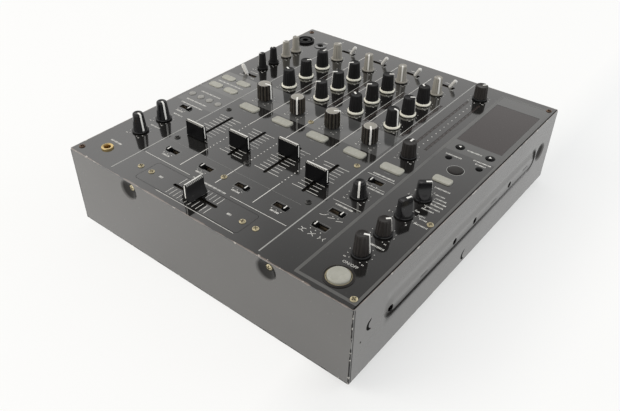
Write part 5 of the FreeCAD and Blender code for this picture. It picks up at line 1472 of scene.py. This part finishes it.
# %% Frames and curves
def between_lines(outer, inner, number=0):
    """The flat ring between two outlines of equal count."""
    return ring_skin(stacked([(outer, INK_LOW), (outer, INK_HIGH), (inner, INK_HIGH), (inner, INK_LOW)]),
                     number)


def frame_line(x, y, size_x, size_y, corner, width, number=0):
    """A closed line: the ring between a rounded outline and the same outline drawn in by the line's width."""
    inner = rounded(size_x - 2 * width, size_y - 2 * width, max(corner - width, LEAST_CORNER))
    return between_lines(rounded(size_x, size_y, corner) + (x, y), inner + (x, y), number)


def stroke(x, y, width=0.45):
    """A curve with a width: each point is moved half the width to both sides, square to the curve."""
    line = np.column_stack([x, y])
    way = np.gradient(line, axis=0)
    side = np.column_stack([-way[:, 1], way[:, 0]]) / np.linalg.norm(way, axis=1)[:, None] * width / 2
    corners = ((line - side, INK_LOW), (line + side, INK_LOW), (line + side, INK_HIGH),
               (line - side, INK_HIGH))
    return skin(swept([(*edge.T, height) for edge, height in corners]))


print("frame points", len(frame_line(0, 0, 2, 1, 0.2, 0.1)[0]))

# %% [markdown]
# Characters come from Blender's own text curve, which fills its outlines and gives them a thickness. Its
# mesh is read back as a skin, so the numbers join the other marks in one piece.

# %% Characters
JOIN_DISTANCE = 0.002


def lettering(text, x, y, size):
    """Plain characters: a filled text curve with the ink's thickness, made a mesh and read back as a skin."""
    curve = bpy.data.curves.new("characters", "FONT")
    curve.body, curve.size, curve.resolution_u = text, size, 3
    curve.align_x, curve.align_y = "CENTER", "CENTER"
    curve.extrude = (INK_HIGH - INK_LOW) / 2
    holder = bpy.data.objects.new("characters", curve)
    mesh = bpy.data.meshes.new_from_object(holder)
    work = bmesh.new()
    work.from_mesh(mesh)
    bmesh.ops.remove_doubles(work, verts=work.verts, dist=JOIN_DISTANCE)
    work.to_mesh(mesh)
    work.free()
    points = np.empty(len(mesh.vertices) * 3)
    mesh.vertices.foreach_get("co", points)
    faces = [list(polygon.vertices) for polygon in mesh.polygons]
    bpy.data.objects.remove(holder)
    bpy.data.curves.remove(curve)
    bpy.data.meshes.remove(mesh)
    return points.reshape(-1, 3) + (x, y, (INK_LOW + INK_HIGH) / 2), faces, 0


print("characters ready")

# %% [markdown]
# ## Lines that divide the panel
# Long lines part the panel into columns, and a broad grey frame goes round the effect column. Between the
# faders the lines are dotted. Each line stops short of the panel's edge, as a screen for printing does.

# %% Column lines
LEFT_X, MASTER_X = (spot[name][0] for name in ("headphone_level_knob", "balance_knob"))
EFFECT_X = box_mm("on_off_button")[2][0]
CROSS_X, CROSS_Y, _ = box_mm("crossfader_plate")[2]
COLUMNS = np.array(CHANNELS)
PITCH = CHANNELS[1] - CHANNELS[0]
LINE_FRONT, LINE_REAR, FRONT_RULE = FRONT + 4.5, REAR - 6.0, -144.4
DOT_ROW = np.linspace(-101.5, -50.0, 13)
between = COLUMNS[:3] + PITCH / 2
left_line, right_line = CHANNELS[0] - PITCH / 2 - 0.5, CHANNELS[3] + PITCH / 2 + 0.5
lines = [long_line([left_line, right_line], LINE_FRONT, LINE_REAR, 1.15, 3),
         long_line(between, -138.8, -104.0), long_line(between, -48.3, 150.0),
         dots(*np.meshgrid(between, DOT_ROW), 1.35),
         rule((left_line + 4.0 - 44.0) / 2, FRONT_RULE, 58.0), rule(35.5, FRONT_RULE, 61.0),
         rule(CROSS_X - 3.5, -115.8, 160.0, 0.35, 1),
         frame_line(EFFECT_X - 1.0, -7.5, 56.0, 345.0, 1.5, 2.8, 2),
         long_line(COLUMNS + 15.0, 27.7, 103.7, 0.4)]
print("column lines", len(lines))

# %% [markdown]
# Each fader has eleven ticks on both sides of its slot, with longer ones at the ends and in the middle, and
# a black frame round the slot. The master meters have a column of dots between them.

# %% Scales of the faders and meters
TICKS = 11
ROWS = np.linspace(-97.6, -52.6, TICKS)
SLOT_LONG, SLOT_WIDE, SLOT_GAP = 51.8, 3.3, 2.1
reach = np.where(np.arange(TICKS) % 5 == 0, 11.7, 9.0)
tick_x = COLUMNS[:, None, None] + np.array([-1, 1])[:, None] * (SLOT_GAP + reach / 2)
lines += [rule(tick_x, ROWS, reach, 0.55), dots(MASTER_X - 0.2, np.linspace(21.5, 130.5, 15), 1.2)]
lines += [long_line(CROSS_X + np.linspace(-22.5, 22.5, TICKS), CROSS_Y + side * 3.2, CROSS_Y + side * 12.3,
                    0.5) for side in (-1, 1)]
lines += [long_line([RIGHT - 0.9], FRONT + 1.2, REAR - 1.5, 1.1, 4),
          rule(CROSS_X + 13.5, CROSS_Y - 15.0, 90.0, 0.45), dashes(CROSS_X - 1.5, FRONT_RULE, 40.0, 1.8),
          dashes(CROSS_X - 42.0, CROSS_Y, 4.6, 2.2), dashes(CROSS_X + 39.6, CROSS_Y, 4.6, 2.2)]
lines += [frame_line(x, ROWS.mean(), SLOT_WIDE, SLOT_LONG, 1.6, 0.55, 4) for x in CHANNELS]
lines.append(frame_line(CROSS_X, CROSS_Y, SLOT_LONG, SLOT_WIDE, 1.6, 0.55, 4))
piece("panel_lines", lines, (print_white, print_grey, frame_grey, line_grey, cap_black), "case")
print("lines", len(lines))

# %% [markdown]
# ## Marks round the knobs
# Eleven dots over 300 degrees make a scale that the pointer runs along. The scale needs only the knob's
# place and the radius of its skirt, so one loop prints all of them. The two selectors have plain numbers,
# one for each click.

# %% Scales of the knobs
TURN = np.radians(np.linspace(-150, 150, 11))
CLICKS = np.radians(np.linspace(-140, 140, 8))
SCALE_GAP, NUMBER_GAP, CORNER = 2.0, 2.6, 0.72
scales = []
for name in KNOBS:
    x, y, _ = spot[name]
    kind = kind_of(name)
    out = KINDS[kind].skirt + SCALE_GAP
    if kind == "selector":
        far, near = out + NUMBER_GAP, out - 0.4
        scales += [lettering(str(i), x + far * math.sin(a), y + far * math.cos(a), 2.7) for i,
                   a in enumerate(CLICKS, 1)]
        scales.append(dots(x + near * np.sin(CLICKS), y + near * np.cos(CLICKS), 0.8))
        continue
    scales.append(dots(x + out * np.sin(TURN), y + out * np.cos(TURN), 0.85))
    corner = (out + 1.4) * CORNER
    scales += [dashes(x + side * corner, y - corner - 1.6, 3.4, 1.1) for side in (-1, 1)]
    if kind in ("phones", "level"):
        scales.append(dashes(x + 5.0, y + KINDS[kind].skirt + 6.0, 13.0, 1.9))
    elif kind not in ("trim", "broad", "short", "booth"):
        scales.append(dashes(x - out * 0.55, y + out + 1.6, 4.6, 1.2))
piece("knob_scales", scales, (print_white,), "case")
print("scales", len(scales))

# %% [markdown]
# ## Marks by switches and keys
# Slide switches have a frame and a dot for each position, the toggles have dashes on three sides, and the
# large keys have a double ring. A dark filler closes the gap round the shorter cap of the effect column.

# %% Marks by switches and keys
switch_columns = np.array([LEFT_X, *CHANNELS, MASTER_X])
notes = []
for lever_x, y, _ in lever_places["switch_levers_left"] + lever_places["switch_levers_right"]:
    x = switch_columns[np.argmin(np.abs(switch_columns - lever_x))]
    notes += [frame_line(x, y, 15.5, 8.4, 0.8, 0.4, 1), dots(x + np.array([-5.0, 0, 5.0]), y - 6.2, 0.9)]
    if x != MASTER_X:
        notes.append(dashes(x, y - 8.6, 10.0, 1.9))
for name in TOGGLES:
    x, y, _ = spot[name]
    notes += [dashes(x + side * 8.5, y - 5.0, 5.0, 1.1) for side in (-1, 1)] + [dashes(x, y + 7.0, 11.0, 1.2)]
x, y, size_x, size_y = effect_cue
notes.append(between_lines(rounded(size_x + 6.6, size_y + 3.4, 3.6) + (x + 1.4, y),
                           rounded(size_x + 0.5, size_y + 0.5, 2.8) + (x, y), 4))
for x, y, _ in key_spots[LARGE_KEY]:
    notes += [frame_line(x, y, 16.0, 16.0, 7.98, 0.5, 3), frame_line(x, y, 15.0, 15.0, 7.48, 0.5, 2)]
notes.append(dots(*np.array(pad_ends).T, 1.3, 2))
print("marks by switches and keys", len(notes))

# %% [markdown]
# ## Rows of dashes and small curves
# Rows of dashes keep the rhythm of the print, each given by its place and length. Beside the two curve
# switches small strokes show how steep each curve is: a power of the way along it, with another exponent
# for each.

# %% Dashes, curves and the word at the button
DASH_ROWS = [(LEFT_X, -30.3, 28.0), (LEFT_X, -50.8, 29.0), (LEFT_X + 1.5, -58.6, 31.0), (LEFT_X, -1.0, 36.0),
             (LEFT_X - 1.5, -151.0, 15.0), (LEFT_X - 9.5, 152.0, 9.0), (LEFT_X + 13.5, 149.0, 8.0),
             (MASTER_X + 7.0, -61.0, 17.0), (MASTER_X + 1.0, -39.4, 22.0), (MASTER_X, -96.3, 18.0),
             (EFFECT_X, 45.2, 15.0), (EFFECT_X - 12.8, 29.0, 17.0), (EFFECT_X + 13.0, 34.2, 18.0),
             (EFFECT_X + 13.6, 29.8, 11.0), (EFFECT_X + 5.6, -24.2, 16.0)]
EFFECT_ROWS = [(8.8, -33.3, 10), (12.0, -38.0, 11), (13.2, -42.6, 13), (13.4, -47.2, 12), (12.2, -51.9, 14),
               (10.2, -56.5, 12), (4.3, -62.9, 5), (10.5, -66.4, 7), (13.8, -69.8, 8), (16.0, -77.2, 13)]
CURVE, CURVE_HALF = np.linspace(-1, 1, 15), 2.6
CROSS_CURVES, CROSS_CURVE_Y = ((-9.5, 0.25), (0.0, 1.0), (9.5, 3.5)), -139.0
FADER_CURVES, FADER_CURVE_Y = ((-8.0, 3.0), (0.0, 1.4), (8.0, 0.7)), -115.2
notes += [dashes(x, y, length, 1.8) for x, y, length in DASH_ROWS]
notes += [dashes(EFFECT_X + shift, y, length, 1.5) for shift, y, length in EFFECT_ROWS]
for shift, power in CROSS_CURVES:
    rise = 2.0 * np.sign(CURVE) * np.abs(CURVE) ** power
    notes += [stroke(MASTER_X + shift + CURVE_HALF * CURVE, CROSS_CURVE_Y + side * rise) for side in (-1, 1)]
for shift, power in FADER_CURVES:
    notes.append(stroke(MASTER_X + shift + CURVE_HALF * CURVE,
                        FADER_CURVE_Y + 2.6 * ((CURVE + 1) / 2) ** power))
notes += [rule(MASTER_X, row, 28.0, 0.4) for row in (-92.5, -57.8, -42.4)]
notes.append(lettering("ON/OFF", EFFECT_X - 0.9, -148.5, 3.8))
notes += [dashes(x, -33.2, 6.0, 1.1, 1) for x in (*CHANNELS, MASTER_X)]
piece("panel_notes", notes, (print_white, print_grey, cap_black, line_grey, panel_lacquer), "case")
print("notes", len(notes))

# %% [markdown]
# ## Lamps of the meters
# Behind each smoked slit is a ladder of small lamps. Unlit, they only show as slightly warmer blocks, so
# they are thin plates in a dull amber, one row for each slit, laid on the window.

# %% Lamp ladders
SLIT_WIDTH, LADDER_END, RUNGS, LAMP_DROP = 10, 3.5, 15, 0.1
lamps = []
for low, high, middle in solid_boxes("display_windows"):
    if high[0] - low[0] < SLIT_WIDTH:
        rungs = np.linspace(low[1] + LADDER_END, high[1] - LADDER_END, RUNGS)
        lamps += moved([marks(SQUARE, middle[0], rungs, 1.3, 2.4)], (0, 0, -LAMP_DROP))
piece("meter_lamps", lamps, (lamp_brown,), "case")
print("ladders", len(lamps))

# %% [markdown]
# ## End

# %% End
print("scene built")
